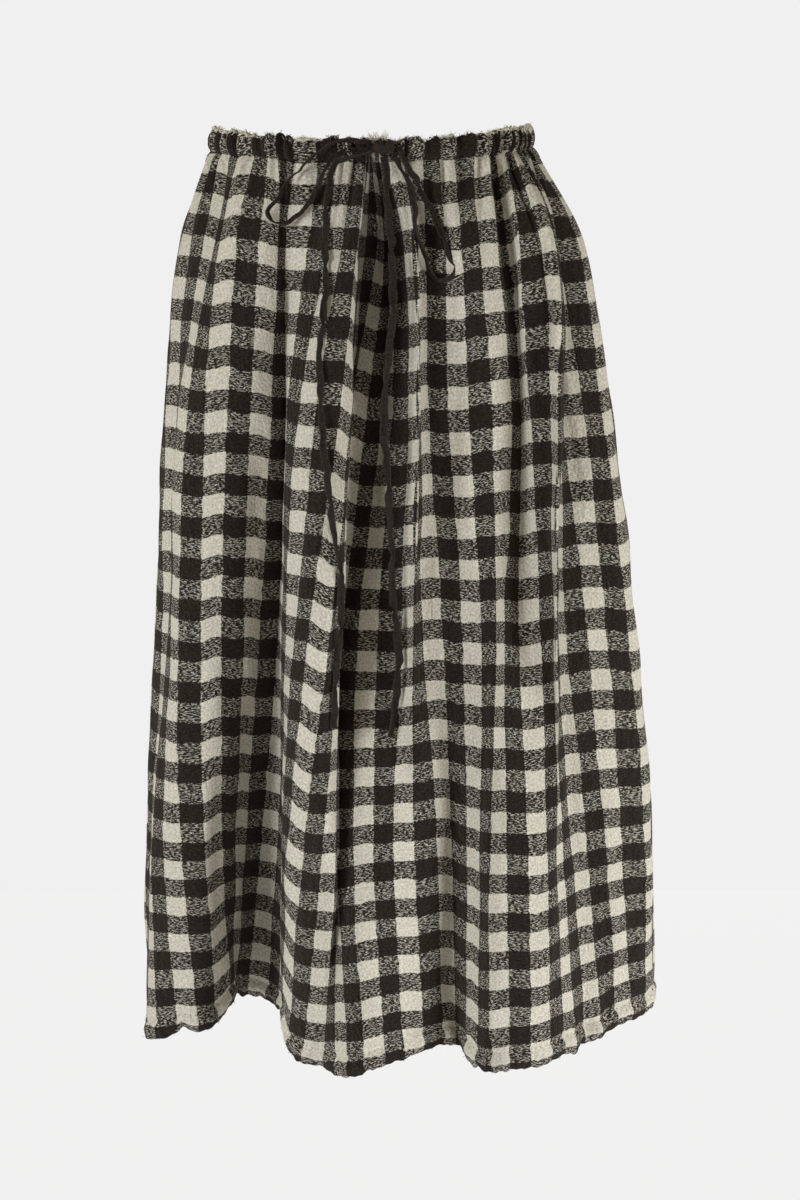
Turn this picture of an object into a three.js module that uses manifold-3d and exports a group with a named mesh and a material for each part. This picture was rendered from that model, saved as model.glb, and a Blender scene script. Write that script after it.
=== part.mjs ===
// Midi skirt of brushed checked wool, gathered on a drawstring and held open as when it is worn.
// Millimetres, +Z up, the front faces -Y. The origin is the middle of the waist opening.
import * as THREE from 'three';
import Module from 'manifold-3d';
import * as BufferGeometryUtils from 'three/addons/utils/BufferGeometryUtils.js';

// ---- driving dimensions ----
const CLOTH = 1.8;              // thickness of the brushed wool
const SEAM_GAP = 0.3;           // space between neighbouring pieces
const HEM_TURN = 13;            // height of the turned-up hem
const HEM_CLOTH = 1.4;          // thickness of the pressed hem turning
const HEM_GAP = 0.6;            // space between the turning and the panel, which are both faceted

const WAIST = { centreX: 4, halfWidth: 134.5, halfDepth: 92 };
const STITCH_Z = -15;           // the casing's lower stitching at the middle of the front
const STATION_Z = { hip: -85, upper: -220, middle: -400, low: -585, hem: -757 };
const WAIST_RISE = { front: 0, right: 13, back: -3, left: 9 };

const CASING = { height: 17, thickness: 8, wall: 1.8, inset: 0.9 };
const TAPE = { width: 8, thickness: 1.6, bulk: 2.4 };   // bulk: its thickness where it hangs creased
const LOOP_WIDTH = 6;           // the tape is folded narrower in the bow's loops
const EYELET = { height: 10.4, width: 4.2, left: -1, right: 29 };
const KNOT = { x: 14, z: -5, width: 21, height: 15, depth: 10 };

const PANEL_ROWS = 10;          // facets down a panel
const FRONT_STEPS = 2;          // facets between two neighbouring fold lines of the front
const BACK_STEPS = 4;
const CASING_STEPS = 28;

// ---- fold lines ----
// Each row is one warp thread, named by its place in 18.5 mm stripes of the check from the left side
// (78 stripes go round). It has its turn round the waist in degrees, its x and y at each station, and
// how far its end lies above the mean hem.
const FRONT_COLUMNS = ['thread', 'turn', 'hipX', 'hipY', 'upperX', 'upperY', 'middleX', 'middleY',
  'lowX', 'lowY', 'hemX', 'hemY', 'lift'];
const FRONT_FOLDS = [
  [-1.4, -94, -156, 10, -173, 10, -183, -2, -192, -12, -192, -20, -6],
  [-0.6, -88, -157, 0, -174, 0, -181, -12, -191, -22, -192, -33, -8],
  [0, -82, -156, -12, -171, -12, -175, -26, -187, -34, -191, -45, -9],
  [1, -75, -148, -26, -160, -28, -168, -40, -184, -50, -182, -56, -6],
  [2, -68, -136, -40, -158, -46, -167, -58, -174, -62, -164, -62, 0],
  [3, -60, -127, -52, -149, -62, -159, -74, -159, -70, -146, -62, 3],
  [4, -56, -122, -60, -134, -74, -139, -80, -139, -70, -129, -52, 6],
  [5, -46, -106, -74, -115, -80, -122, -80, -124, -60, -120, -32, 16],
  [6, -39, -88, -82, -96, -80, -104, -72, -113, -44, -119, -10, 16],
  [7, -34, -72, -82, -79, -74, -90, -60, -104, -28, -118, 12, 12],
  [8, -28, -67, -76, -68, -62, -75, -46, -91, -14, -108, 22, 10],
  [9, -19, -48, -88, -65, -78, -72, -64, -77, -26, -91, 10, 9],
  [10, -11.5, -32, -96, -56, -92, -68, -82, -73, -46, -78, -4, 5],
  [11, -6.5, -21, -102, -42, -104, -60, -100, -73, -66, -76, -28, 3],
  [12, -2, -8, -104, -22, -110, -48, -114, -68, -88, -75, -54, 1],
  [13, -1.5, -7, -88, -14, -98, -31, -122, -55, -106, -67, -78, -10],
  [14, -1, -6, -70, -13, -78, -24, -108, -38, -118, -56, -96, -14],
  [15, -0.5, -1, -56, -14, -64, -22, -90, -27, -120, -38, -106, -17],
  [16, 0, 7, -46, -14, -68, -26, -78, -26, -106, -28, -122, -17],
  [17, 1, 14, -40, 0, -60, -21, -68, -26, -106, -16, -134, -16],
  [18, 2.5, 19, -34, 12, -52, -8, -78, -12, -116, -2, -141, -10],
  [19, 4, 24, -50, 20, -64, 9, -84, 5, -122, 15, -143, -3],
  [20, 5.5, 29, -74, 34, -80, 28, -90, 22, -124, 30, -138, 2],
  [21, 11, 39, -98, 43, -96, 38, -104, 39, -124, 47, -130, 5],
  [22, 12.5, 41, -90, 44, -80, 46, -90, 58, -116, 64, -120, 8],
  [23, 18, 48, -84, 50, -70, 62, -84, 70, -104, 74, -110, 5],
  [24, 24, 64, -88, 67, -70, 79, -86, 83, -112, 83, -124, -2],
  [25, 30, 77, -92, 84, -70, 94, -94, 93, -122, 91, -138, -8],
  [26, 38, 92, -90, 103, -68, 107, -100, 101, -132, 102, -150, -7],
  [27, 46, 106, -82, 120, -58, 114, -90, 115, -138, 118, -154, -3],
  [28, 49, 116, -72, 128, -46, 126, -80, 133, -138, 136, -152, -2],
  [29, 54, 126, -78, 135, -58, 144, -84, 149, -130, 153, -142, 0],
  [30, 58, 142, -82, 152, -66, 155, -92, 158, -116, 164, -126, 1],
  [31, 62, 151, -72, 157, -78, 157, -100, 163, -102, 175, -112, 1],
  [32, 65, 153, -58, 162, -60, 158, -82, 171, -90, 185, -96, 2],
  [33, 67, 152, -48, 159, -46, 165, -76, 184, -80, 198, -84, 4],
  [34, 69.5, 152, -44, 162, -44, 182, -64, 199, -70, 213, -70, 9],
  [35, 73, 154, -42, 179, -40, 200, -52, 215, -58, 226, -56, 11],
  [36, 78, 172, -28, 195, -30, 218, -38, 236, -42, 239, -38, 11],
  [36.6, 84, 177, -12, 203, -16, 225, -26, 242, -32, 246, -28, 13],
  [37.2, 89, 177, -2, 204, -4, 226, -14, 243, -20, 247, -16, 13],
  [37.6, 92, 177, 6, 204, 4, 225, -4, 243, -10, 247, -6, 12],
];

// The back hangs from seam to seam on half ovals of these depths. Each row is one fold line: its
// thread, its turn from the right seam in degrees, and how far it stands out of the oval (or in).
const BACK_TURNS = { right: 92, left: 266 };            // the seams' turns round the waist
const BACK_DEPTH = { hip: 96, upper: 112, middle: 132, low: 152, hem: 168 };
const BACK_COLUMNS = ['thread', 'turn', 'hip', 'upper', 'middle', 'low', 'hem', 'lift'];
const BACK_FOLDS = [
  [40, 9, 3, 4, 4, 5, 8, 10],
  [42.5, 22, 11, 12, 12, 14, 14, 6],
  [45, 33, -11, -12, -10, -10, -12, 2],
  [47.5, 44, 9, 12, 14, 16, 18, -2],
  [50, 56, -12, -14, -12, -14, -16, 0],
  [52, 66, 8, 10, 8, 8, 6, -3],
  [54.5, 78, -9, -8, -4, 0, 4, -5],
  [57, 90, 9, 12, 14, 18, 20, -8],
  [59.5, 102, -13, -16, -16, -16, -18, -4],
  [62, 113, 7, 10, 12, 12, 10, -6],
  [64.5, 124, -12, -12, -8, -4, -2, -3],
  [67, 136, 9, 12, 14, 16, 20, -7],
  [69.5, 147, -10, -12, -14, -16, -16, 0],
  [72, 158, 7, 8, 10, 10, 8, -2],
  [74.5, 170, -3, -2, -2, 0, 0, -4],
];

const named = (columns, row) => Object.fromEntries(columns.map((name, k) => [name, row[k]]));
const radians = THREE.MathUtils.degToRad;

// ---- waist ----
// Turn 0 is the middle of the front, 90 the right side, 180 the back and -90 the left side.
function waistRise(turn) {
  const across = Math.sin(radians(turn));
  const along = Math.cos(radians(turn));
  const side = across > 0 ? WAIST_RISE.right : WAIST_RISE.left;
  const end = along > 0 ? WAIST_RISE.front : WAIST_RISE.back;
  return side * across * across + end * along * along;
}

function waistPoint(turn, inset = 0, height = 0) {
  const x = WAIST.centreX + (WAIST.halfWidth - inset) * Math.sin(radians(turn));
  const y = -(WAIST.halfDepth - inset) * Math.cos(radians(turn));
  return new THREE.Vector3(x, y, STITCH_Z + waistRise(turn) + height);
}

// ---- the cloth's form: fold lines down the skirt, joined by a smooth closed ring at each level ----
const STATIONS = Object.keys(STATION_Z);

function stationHeight(station, lift, rise) {
  const drop = STATION_Z[station] - STITCH_Z;
  const share = drop / (STATION_Z.hem - STITCH_Z);
  return STITCH_Z + drop + lift * share + rise * (1 - share);
}

function frontLine(fold) {
  const rise = waistRise(fold.turn);
  const below = STATIONS.map((station) => new THREE.Vector3(
    fold[`${station}X`], fold[`${station}Y`], stationHeight(station, fold.lift, rise)));
  return [waistPoint(fold.turn), ...below];
}

function backLine(fold, rightSeam, leftSeam) {
  const waistTurn = BACK_TURNS.right + (BACK_TURNS.left - BACK_TURNS.right) * fold.turn / 180;
  const rise = waistRise(waistTurn);
  const below = STATIONS.map((station) => {
    const right = new THREE.Vector2(rightSeam[`${station}X`], rightSeam[`${station}Y`]);
    const left = new THREE.Vector2(leftSeam[`${station}X`], leftSeam[`${station}Y`]);
    const centre = right.clone().add(left).multiplyScalar(0.5);
    const spoke = right.clone().sub(centre).multiplyScalar(Math.cos(radians(fold.turn)));
    spoke.y += BACK_DEPTH[station] * Math.sin(radians(fold.turn));
    spoke.setLength(spoke.length() + fold[station]);
    return new THREE.Vector3(
      centre.x + spoke.x, centre.y + spoke.y, stationHeight(station, fold.lift, rise));
  });
  return [waistPoint(waistTurn), ...below];
}

const frontFolds = FRONT_FOLDS.map((row) => named(FRONT_COLUMNS, row));
const backFolds = BACK_FOLDS.map((row) => named(BACK_COLUMNS, row));
const leftSeam = frontFolds[0];
const rightSeam = frontFolds[frontFolds.length - 1];
const foldCurves = [
  ...frontFolds.map(frontLine),
  ...backFolds.map((fold) => backLine(fold, rightSeam, leftSeam)),
].map((points) => new THREE.CatmullRomCurve3(points, false, 'centripetal'));
const LEFT_SEAM_LINE = foldCurves.length;
const RIGHT_SEAM_LINE = frontFolds.length - 1;

// A ring at share t of the way down. Its points are numbered by fold line: ring(12.5) lies between
// lines 12 and 13.
function ringAt(t) {
  const curve = new THREE.CatmullRomCurve3(foldCurves.map((line) => line.getPoint(t)), true, 'centripetal');
  return (line) => curve.getPoint(((line / foldCurves.length) % 1 + 1) % 1);
}

function outwardAt(ring, line) {
  const step = 0.02;
  const tangent = ring(line + step).sub(ring(line - step));
  return new THREE.Vector3(tangent.y, -tangent.x, 0).normalize();
}

// ---- closed meshes ----
function meshFrom(points, faces) {
  const geometry = new THREE.BufferGeometry();
  geometry.setAttribute('position', new THREE.Float32BufferAttribute(points.flatMap((p) => p.toArray()), 3));
  geometry.setIndex(faces);
  return geometry;
}

// A wall between two grids of points, outer and inner, closed round all four edges.
function wallSolid(outer, inner) {
  const rows = outer.length;
  const columns = outer[0].length;
  const points = [...outer.flat(), ...inner.flat()];
  const out = (r, c) => r * columns + c;
  const into = (r, c) => rows * columns + r * columns + c;
  const faces = [];
  const quad = (a, b, c, d) => faces.push(a, b, c, a, c, d);
  for (let r = 0; r < rows - 1; r++) {
    for (let c = 0; c < columns - 1; c++) {
      quad(out(r, c), out(r + 1, c), out(r + 1, c + 1), out(r, c + 1));
      quad(into(r, c), into(r, c + 1), into(r + 1, c + 1), into(r + 1, c));
    }
    quad(out(r, 0), into(r, 0), into(r + 1, 0), out(r + 1, 0));
    const last = columns - 1;
    quad(out(r, last), out(r + 1, last), into(r + 1, last), into(r, last));
  }
  for (let c = 0; c < columns - 1; c++) {
    quad(out(0, c), out(0, c + 1), into(0, c + 1), into(0, c));
    const last = rows - 1;
    quad(out(last, c), into(last, c), into(last, c + 1), out(last, c + 1));
  }
  return meshFrom(points, faces);
}

// A tube through matching outer and inner loops, open at both ends.
function channelSolid(outerLoops, innerLoops) {
  const count = outerLoops[0].length;
  const steps = outerLoops.length;
  const points = [...outerLoops.flat(), ...innerLoops.flat()];
  const out = (s, k) => s * count + (k % count);
  const into = (s, k) => steps * count + s * count + (k % count);
  const faces = [];
  const quad = (a, b, c, d) => faces.push(a, b, c, a, c, d);
  for (let k = 0; k < count; k++) {
    for (let s = 0; s < steps - 1; s++) {
      quad(out(s, k), out(s + 1, k), out(s + 1, k + 1), out(s, k + 1));
      quad(into(s, k), into(s, k + 1), into(s + 1, k + 1), into(s + 1, k));
    }
    quad(out(0, k), out(0, k + 1), into(0, k + 1), into(0, k));
    quad(out(steps - 1, k), into(steps - 1, k), into(steps - 1, k + 1), out(steps - 1, k + 1));
  }
  return meshFrom(points, faces);
}

// A solid bar through matching loops, with flat ends.
function barSolid(loops) {
  const count = loops[0].length;
  const points = loops.flat();
  const at = (s, k) => s * count + (k % count);
  const faces = [];
  for (let k = 0; k < count; k++) {
    for (let s = 0; s < loops.length - 1; s++) {
      faces.push(at(s, k), at(s + 1, k), at(s + 1, k + 1), at(s, k), at(s + 1, k + 1), at(s, k + 1));
    }
  }
  for (let k = 1; k < count - 1; k++) {
    faces.push(at(0, 0), at(0, k), at(0, k + 1));
    faces.push(at(loops.length - 1, 0), at(loops.length - 1, k + 1), at(loops.length - 1, k));
  }
  return meshFrom(points, faces);
}

// ---- panels and hems ----
// Columns of a panel by fold line, stopping half a seam gap short of the seam at each end.
function panelColumns(firstLine, lastLine, steps) {
  const columns = [];
  for (let k = 0; k <= (lastLine - firstLine) * steps; k++) columns.push(firstLine + k / steps);
  const ring = ringAt(1);
  const short = (line, next) => SEAM_GAP / 2 / ring(line).distanceTo(ring(next));
  columns[0] += short(firstLine, firstLine + 1);
  columns[columns.length - 1] -= short(lastLine, lastLine - 1);
  return columns;
}

function panelGrid(columns, shares, depth) {
  return shares.map((t) => {
    const ring = ringAt(t);
    return columns.map((line) => ring(line).addScaledVector(outwardAt(ring, line), -depth));
  });
}

function panel(firstLine, lastLine, steps) {
  const columns = panelColumns(firstLine, lastLine, steps);
  const shares = Array.from({ length: PANEL_ROWS + 1 }, (_, k) => k / PANEL_ROWS);
  return wallSolid(panelGrid(columns, shares, 0), panelGrid(columns, shares, CLOTH));
}

// The turning follows the panel's lowest row of facets, inside it.
function hemTurning(firstLine, lastLine, steps) {
  const columns = panelColumns(firstLine, lastLine, steps);
  const lowestRow = [1 - 1 / PANEL_ROWS, 1];
  const turned = (depth) => {
    const [above, edge] = panelGrid(columns, lowestRow, depth);
    const top = edge.map((point, k) => {
      const share = HEM_TURN / point.distanceTo(above[k]);
      return point.clone().lerp(above[k], share);
    });
    return [top, edge];
  };
  return wallSolid(turned(CLOTH + HEM_GAP), turned(CLOTH + HEM_GAP + HEM_CLOTH));
}

// ---- casing ----
// One loop of the casing's section at a turn: a rounded box, standing on the stitching.
function casingLoop(turn, thickness, height) {
  const middle = CASING.height / 2 + SEAM_GAP;
  const corners = [[-1, -0.7], [-0.6, -1], [0.6, -1], [1, -0.7], [1, 0.7], [0.6, 1], [-0.6, 1], [-1, 0.7]];
  return corners.map(([across, up]) => waistPoint(
    turn, CASING.inset - across * thickness / 2, middle + up * height / 2));
}

function casing(firstTurn, lastTurn) {
  const gapTurn = THREE.MathUtils.radToDeg(SEAM_GAP / 2 / WAIST.halfDepth);
  const turns = Array.from({ length: CASING_STEPS + 1 }, (_, k) => {
    const share = k / CASING_STEPS;
    return firstTurn + gapTurn + (lastTurn - firstTurn - 2 * gapTurn) * share;
  });
  const outer = turns.map((turn) => casingLoop(turn, CASING.thickness, CASING.height));
  const inner = turns.map((turn) => casingLoop(
    turn, CASING.thickness - 2 * CASING.wall, CASING.height - 2 * CASING.wall));
  return channelSolid(outer, inner);
}

const turnAtX = (x) => THREE.MathUtils.radToDeg(Math.asin((x - WAIST.centreX) / WAIST.halfWidth));

// ---- drawstring ----
// The flat tape in the channel, from one eyelet round the back to the other.
function channelTape() {
  const middle = CASING.height / 2 + SEAM_GAP;
  const path = [];
  const start = turnAtX(EYELET.right);
  const end = 360 + turnAtX(EYELET.left);
  const outside = -(CASING.thickness / 2 + 1.5) + CASING.inset;
  const steps = 44;
  path.push([start, outside]);
  for (let k = 0; k <= steps; k++) path.push([start + (end - start) * k / steps, CASING.inset]);
  path.push([end, outside]);
  const centres = path.map(([turn, inset]) => waistPoint(turn, inset, middle));
  const loops = centres.map((centre, k) => {
    const before = centres[Math.max(k - 1, 0)];
    const after = centres[Math.min(k + 1, centres.length - 1)];
    const along = after.clone().sub(before).setZ(0).normalize();
    const across = new THREE.Vector3(along.y, -along.x, 0).multiplyScalar(TAPE.thickness / 2);
    const up = new THREE.Vector3(0, 0, TAPE.width / 2);
    return [[-1, -1], [1, -1], [1, 1], [-1, 1]].map(([a, b]) => centre.clone()
      .addScaledVector(across, a).addScaledVector(up, b));
  });
  return barSolid(loops);
}

// A free stretch of the tape: a flat section carried along a hand-laid route.
function freeTape(route, width, thickness, steps) {
  const curve = new THREE.CatmullRomCurve3(route.map(([x, y, z]) => new THREE.Vector3(x, y, z)));
  const section = new THREE.Shape();
  section.absellipse(0, 0, width / 2, thickness / 2, 0, 2 * Math.PI);
  const settings = { steps, curveSegments: 5, extrudePath: curve, bevelEnabled: false };
  return new THREE.ExtrudeGeometry(section, settings);
}

const ROUTES = {
  tie_end_left: [
    [4.6, -105.3, -9], [-12, -105, -13], [-25, -103.5, -18], [-31, -101.5, -36], [-33, -98.5, -60],
    [-34, -101, -90], [-33, -104.5, -120], [-35, -106, -140], [-38, -107, -165], [-38, -110.5, -200],
    [-36, -115, -235], [-33, -117.5, -265], [-29, -119, -300], [-24, -120, -335], [-21, -118, -365],
    [-22, -119, -395], [-25, -120, -425], [-27, -120, -455], [-27, -120, -480],
  ],
  tie_end_right: [
    [14, -100.6, -12.9], [16, -100.8, -30], [17, -101, -50], [19, -101, -75], [21, -100, -105],
    [21, -100, -140], [18, -100, -175], [15, -99, -205], [14, -99, -235], [17, -98, -270], [19, -98, -305],
    [20, -97, -340], [21, -97, -370], [24, -98, -400], [26, -101, -425], [24, -104, -452], [18, -107.5, -490],
  ],
  bow_loop_left: [
    [3, -99.5, -2], [-12, -100, 1], [-31, -99.5, -5], [-56, -91, -24], [-74, -85.5, -47],
    [-82, -85, -58], [-77, -85, -66], [-68, -86.5, -67], [-58, -88, -61], [-44, -92.5, -45],
    [-37, -94.5, -29], [-28, -95.8, -14], [-14, -98, -8.5], [3.8, -98.8, -9],
  ],
  bow_loop_right: [
    [26.2, -100.5, -7], [33, -99, -20], [42, -94, -36], [52, -90, -56], [62, -91, -78], [69, -92, -96],
    [74, -90.5, -101], [69, -89, -111], [57, -86, -113], [50.5, -87, -105], [46.5, -91.5, -91],
    [41, -98.5, -72], [39, -98, -52], [35, -96.5, -36], [28, -96.5, -22], [21.5, -98.5, -13.5],
  ],
};

// The knot is tied flat against the casing's outer face.
function knot() {
  const outerFace = waistPoint(turnAtX(KNOT.x), CASING.inset - CASING.thickness / 2);
  const geometry = new THREE.SphereGeometry(0.5, 14, 10);
  geometry.scale(KNOT.width, KNOT.depth, KNOT.height);
  geometry.translate(KNOT.x, outerFace.y - SEAM_GAP - KNOT.depth / 2, KNOT.z);
  return geometry;
}

// ---- booleans ----
const wasm = await Module();
wasm.setup();

function solidOf(geometry) {
  const bare = geometry.clone();
  bare.deleteAttribute('normal');
  bare.deleteAttribute('uv');
  const merged = BufferGeometryUtils.mergeVertices(bare);
  return new wasm.Manifold(new wasm.Mesh({
    numProp: 3,
    vertProperties: new Float32Array(merged.attributes.position.array),
    triVerts: new Uint32Array(merged.index.array),
  }));
}

function geometryOf(solid) {
  const mesh = solid.getMesh();
  const geometry = new THREE.BufferGeometry();
  geometry.setAttribute('position', new THREE.BufferAttribute(mesh.vertProperties, 3));
  geometry.setIndex(new THREE.BufferAttribute(mesh.triVerts, 1));
  return geometry;
}

// The slits in the casing's outer wall that the tape comes out of.
function withEyelets(geometry) {
  let solid = solidOf(geometry);
  for (const x of [EYELET.left, EYELET.right]) {
    const slit = new THREE.BoxGeometry(EYELET.width, CASING.thickness, EYELET.height);
    const middle = waistPoint(turnAtX(x), 0, CASING.height / 2 + SEAM_GAP);
    slit.translate(middle.x, middle.y - CASING.thickness / 2, middle.z);
    solid = solid.subtract(solidOf(slit));
  }
  return geometryOf(solid);
}

// ---- materials and the finished group ----
const wool = (color) => new THREE.MeshStandardMaterial({ color, roughness: 0.95, metalness: 0 });
const frontWool = wool('#8a8479');
const backWool = wool('#7d776d');
const casingWool = wool('#4c4640');
const hemWool = wool('#3a3531');
const tapeCotton = new THREE.MeshStandardMaterial({ color: '#2b2622', roughness: 0.8, metalness: 0 });

const skirt = new THREE.Group();

function add(name, geometry, material) {
  const mesh = new THREE.Mesh(geometry, material);
  mesh.name = name;
  skirt.add(mesh);
}

add('front_panel', panel(0, RIGHT_SEAM_LINE, FRONT_STEPS), frontWool);
add('back_panel', panel(RIGHT_SEAM_LINE, LEFT_SEAM_LINE, BACK_STEPS), backWool);
add('hem_front', hemTurning(0, RIGHT_SEAM_LINE, FRONT_STEPS), hemWool);
add('hem_back', hemTurning(RIGHT_SEAM_LINE, LEFT_SEAM_LINE, BACK_STEPS), hemWool);
add('casing_front', withEyelets(casing(leftSeam.turn, rightSeam.turn)), casingWool);
add('casing_back', casing(rightSeam.turn, 360 + leftSeam.turn), casingWool);
add('drawstring_in_casing', channelTape(), tapeCotton);
add('bow_knot', knot(), tapeCotton);
add('bow_loop_left', freeTape(ROUTES.bow_loop_left, TAPE.bulk, LOOP_WIDTH, 18), tapeCotton);
add('bow_loop_right', freeTape(ROUTES.bow_loop_right, TAPE.bulk, LOOP_WIDTH, 20), tapeCotton);
add('tie_end_left', freeTape(ROUTES.tie_end_left, TAPE.width, TAPE.bulk, 20), tapeCotton);
add('tie_end_right', freeTape(ROUTES.tie_end_right, TAPE.bulk, TAPE.width, 20), tapeCotton);

export default skirt;
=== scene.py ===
"""Looks of a midi skirt in checked brushed wool, gathered on a drawstring. Metres, front towards -Y."""

import math

import bpy
import numpy as np
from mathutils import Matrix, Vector


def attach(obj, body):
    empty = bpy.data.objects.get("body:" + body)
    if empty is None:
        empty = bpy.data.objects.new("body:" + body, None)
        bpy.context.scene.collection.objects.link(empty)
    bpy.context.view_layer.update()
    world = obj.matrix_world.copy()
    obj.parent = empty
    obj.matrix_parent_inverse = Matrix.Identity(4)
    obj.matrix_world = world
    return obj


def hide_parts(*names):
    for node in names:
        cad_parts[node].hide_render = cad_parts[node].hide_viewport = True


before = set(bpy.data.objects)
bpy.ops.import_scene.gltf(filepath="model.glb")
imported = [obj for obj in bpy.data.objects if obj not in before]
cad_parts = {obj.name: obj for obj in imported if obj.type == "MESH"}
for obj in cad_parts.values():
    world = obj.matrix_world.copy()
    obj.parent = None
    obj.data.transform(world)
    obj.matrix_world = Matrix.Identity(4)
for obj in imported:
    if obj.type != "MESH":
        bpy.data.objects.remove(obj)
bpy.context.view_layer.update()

MM = 0.001
BODY = "root"
rng = np.random.default_rng(12)


def in_scene(name, data):
    """A new object with this data, linked into the scene."""
    made = bpy.data.objects.new(name, data)
    bpy.context.scene.collection.objects.link(made)
    return made


def keep_as(piece, cad_node=None):
    """Hangs a piece on the body, and hides the solid that it stands in for."""
    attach(piece, BODY)
    if cad_node:
        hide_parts(cad_node)


def unit(vectors):
    return vectors / np.maximum(np.linalg.norm(vectors, axis=-1, keepdims=True), 1e-9)


def run_along(path):
    """How far along a path each of its points lies."""
    return np.concatenate([[0], np.cumsum(np.linalg.norm(np.diff(path, axis=0), axis=1))])


# ---------------------------------------------------------------- camera
CAMERA = {"place": (0.027, -2.6, 0.0), "tilt": 8.55, "lens": 91.7}


def make_camera():
    data = bpy.data.cameras.new("camera")
    data.lens = CAMERA["lens"]
    camera = in_scene("camera", data)
    camera.location = CAMERA["place"]
    camera.rotation_euler = (math.radians(90 - CAMERA["tilt"]), 0, 0)
    bpy.context.scene.camera = camera


make_camera()

# ---------------------------------------------------------------- sizes of the cloth, in millimetres
WARP_STRIPE = 18.5         # width of one light or dark stripe, across the skirt
WEFT_STRIPE = 17.5         # and down it
ROUND = 78                 # stripes once round
CLOTH = 1.8
WAIST = {"centre": 4.0, "half_width": 134.5, "half_depth": 92.0, "stitch": -15.0}
RISE = {"front": 0.0, "right": 9.0, "back": -3.0, "left": 6.5}
STATIONS = (-85.0, -220.0, -400.0, -585.0, -757.0)     # hip, upper, middle, low, hem
SEAMS = {"left": -1.4, "right": 37.6}                  # the side seams, as threads
SEAM_GAP = 0.3

# One warp thread a row: its place in stripes from the left side, its turn round the waist in degrees,
# its x and y at the hip, upper, middle, low and hem stations, and its end's lift above the mean hem.
FRONT_FOLDS = np.array([
    [-1.4, -94, -156, 10, -173, 10, -183, -2, -192, -12, -192, -20, -6],
    [-0.6, -88, -157, 0, -174, 0, -181, -12, -191, -22, -192, -33, -8],
    [0, -82, -156, -12, -171, -12, -175, -26, -187, -34, -191, -45, -9],
    [1, -75, -148, -26, -160, -28, -168, -40, -184, -50, -182, -56, -6],
    [2, -68, -136, -40, -158, -46, -167, -58, -174, -62, -164, -62, 0],
    [3, -60, -127, -52, -149, -62, -159, -74, -159, -70, -146, -62, 3],
    [4, -56, -122, -60, -134, -74, -139, -80, -139, -70, -129, -52, 6],
    [5, -46, -106, -74, -115, -80, -122, -80, -124, -60, -120, -32, 16],
    [6, -39, -88, -82, -96, -80, -104, -72, -113, -44, -119, -10, 16],
    [7, -34, -72, -82, -79, -74, -90, -60, -104, -28, -118, 12, 12],
    [8, -28, -67, -76, -68, -62, -75, -46, -91, -14, -108, 22, 10],
    [9, -19, -48, -88, -65, -78, -72, -64, -77, -26, -91, 10, 9],
    [10, -11.5, -32, -96, -56, -92, -68, -82, -73, -46, -78, -4, 5],
    [11, -6.5, -21, -102, -42, -104, -60, -100, -73, -66, -76, -28, 3],
    [12, -2, -8, -104, -22, -110, -48, -114, -68, -88, -75, -54, 1],
    [13, -1.5, -7, -88, -14, -98, -31, -122, -55, -106, -67, -78, -10],
    [14, -1, -6, -70, -13, -78, -24, -108, -38, -118, -56, -96, -14],
    [15, -0.5, -1, -56, -14, -64, -22, -90, -27, -120, -38, -106, -17],
    [16, 0, 7, -46, -14, -68, -26, -78, -26, -106, -28, -122, -17],
    [17, 1, 14, -40, 0, -60, -21, -68, -26, -106, -16, -134, -16],
    [18, 2.5, 19, -34, 12, -52, -8, -78, -12, -116, -2, -141, -10],
    [19, 4, 24, -50, 20, -64, 9, -84, 5, -122, 15, -143, -3],
    [20, 5.5, 29, -74, 34, -80, 28, -90, 22, -124, 30, -138, 2],
    [21, 11, 39, -98, 43, -96, 38, -104, 39, -124, 47, -130, 5],
    [22, 12.5, 41, -90, 44, -80, 46, -90, 58, -116, 64, -120, 8],
    [23, 18, 48, -84, 50, -70, 62, -84, 70, -104, 74, -110, 5],
    [24, 24, 64, -88, 67, -70, 79, -86, 83, -112, 83, -124, -2],
    [25, 30, 77, -92, 84, -70, 94, -94, 93, -122, 91, -138, -8],
    [26, 38, 92, -90, 103, -68, 107, -100, 101, -132, 102, -150, -7],
    [27, 46, 106, -82, 120, -58, 114, -90, 115, -138, 118, -154, -3],
    [28, 49, 116, -72, 128, -46, 126, -80, 133, -138, 136, -152, -2],
    [29, 54, 126, -78, 135, -58, 144, -84, 149, -130, 153, -142, 0],
    [30, 58, 142, -82, 152, -66, 155, -92, 158, -116, 164, -126, 1],
    [31, 62, 151, -72, 157, -78, 157, -100, 163, -102, 175, -112, 1],
    [32, 65, 153, -58, 162, -60, 158, -82, 171, -90, 185, -96, 2],
    [33, 67, 152, -48, 159, -46, 165, -76, 184, -80, 198, -84, 4],
    [34, 69.5, 152, -44, 162, -44, 182, -64, 199, -70, 213, -70, 9],
    [35, 73, 154, -42, 179, -40, 200, -52, 215, -58, 226, -56, 11],
    [36, 78, 172, -28, 195, -30, 218, -38, 236, -42, 239, -38, 11],
    [36.6, 84, 177, -12, 203, -16, 225, -26, 242, -32, 246, -28, 13],
    [37.2, 89, 177, -2, 204, -4, 226, -14, 243, -20, 247, -16, 13],
    [37.6, 92, 177, 6, 204, 4, 225, -4, 243, -10, 247, -6, 12],
])

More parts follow.
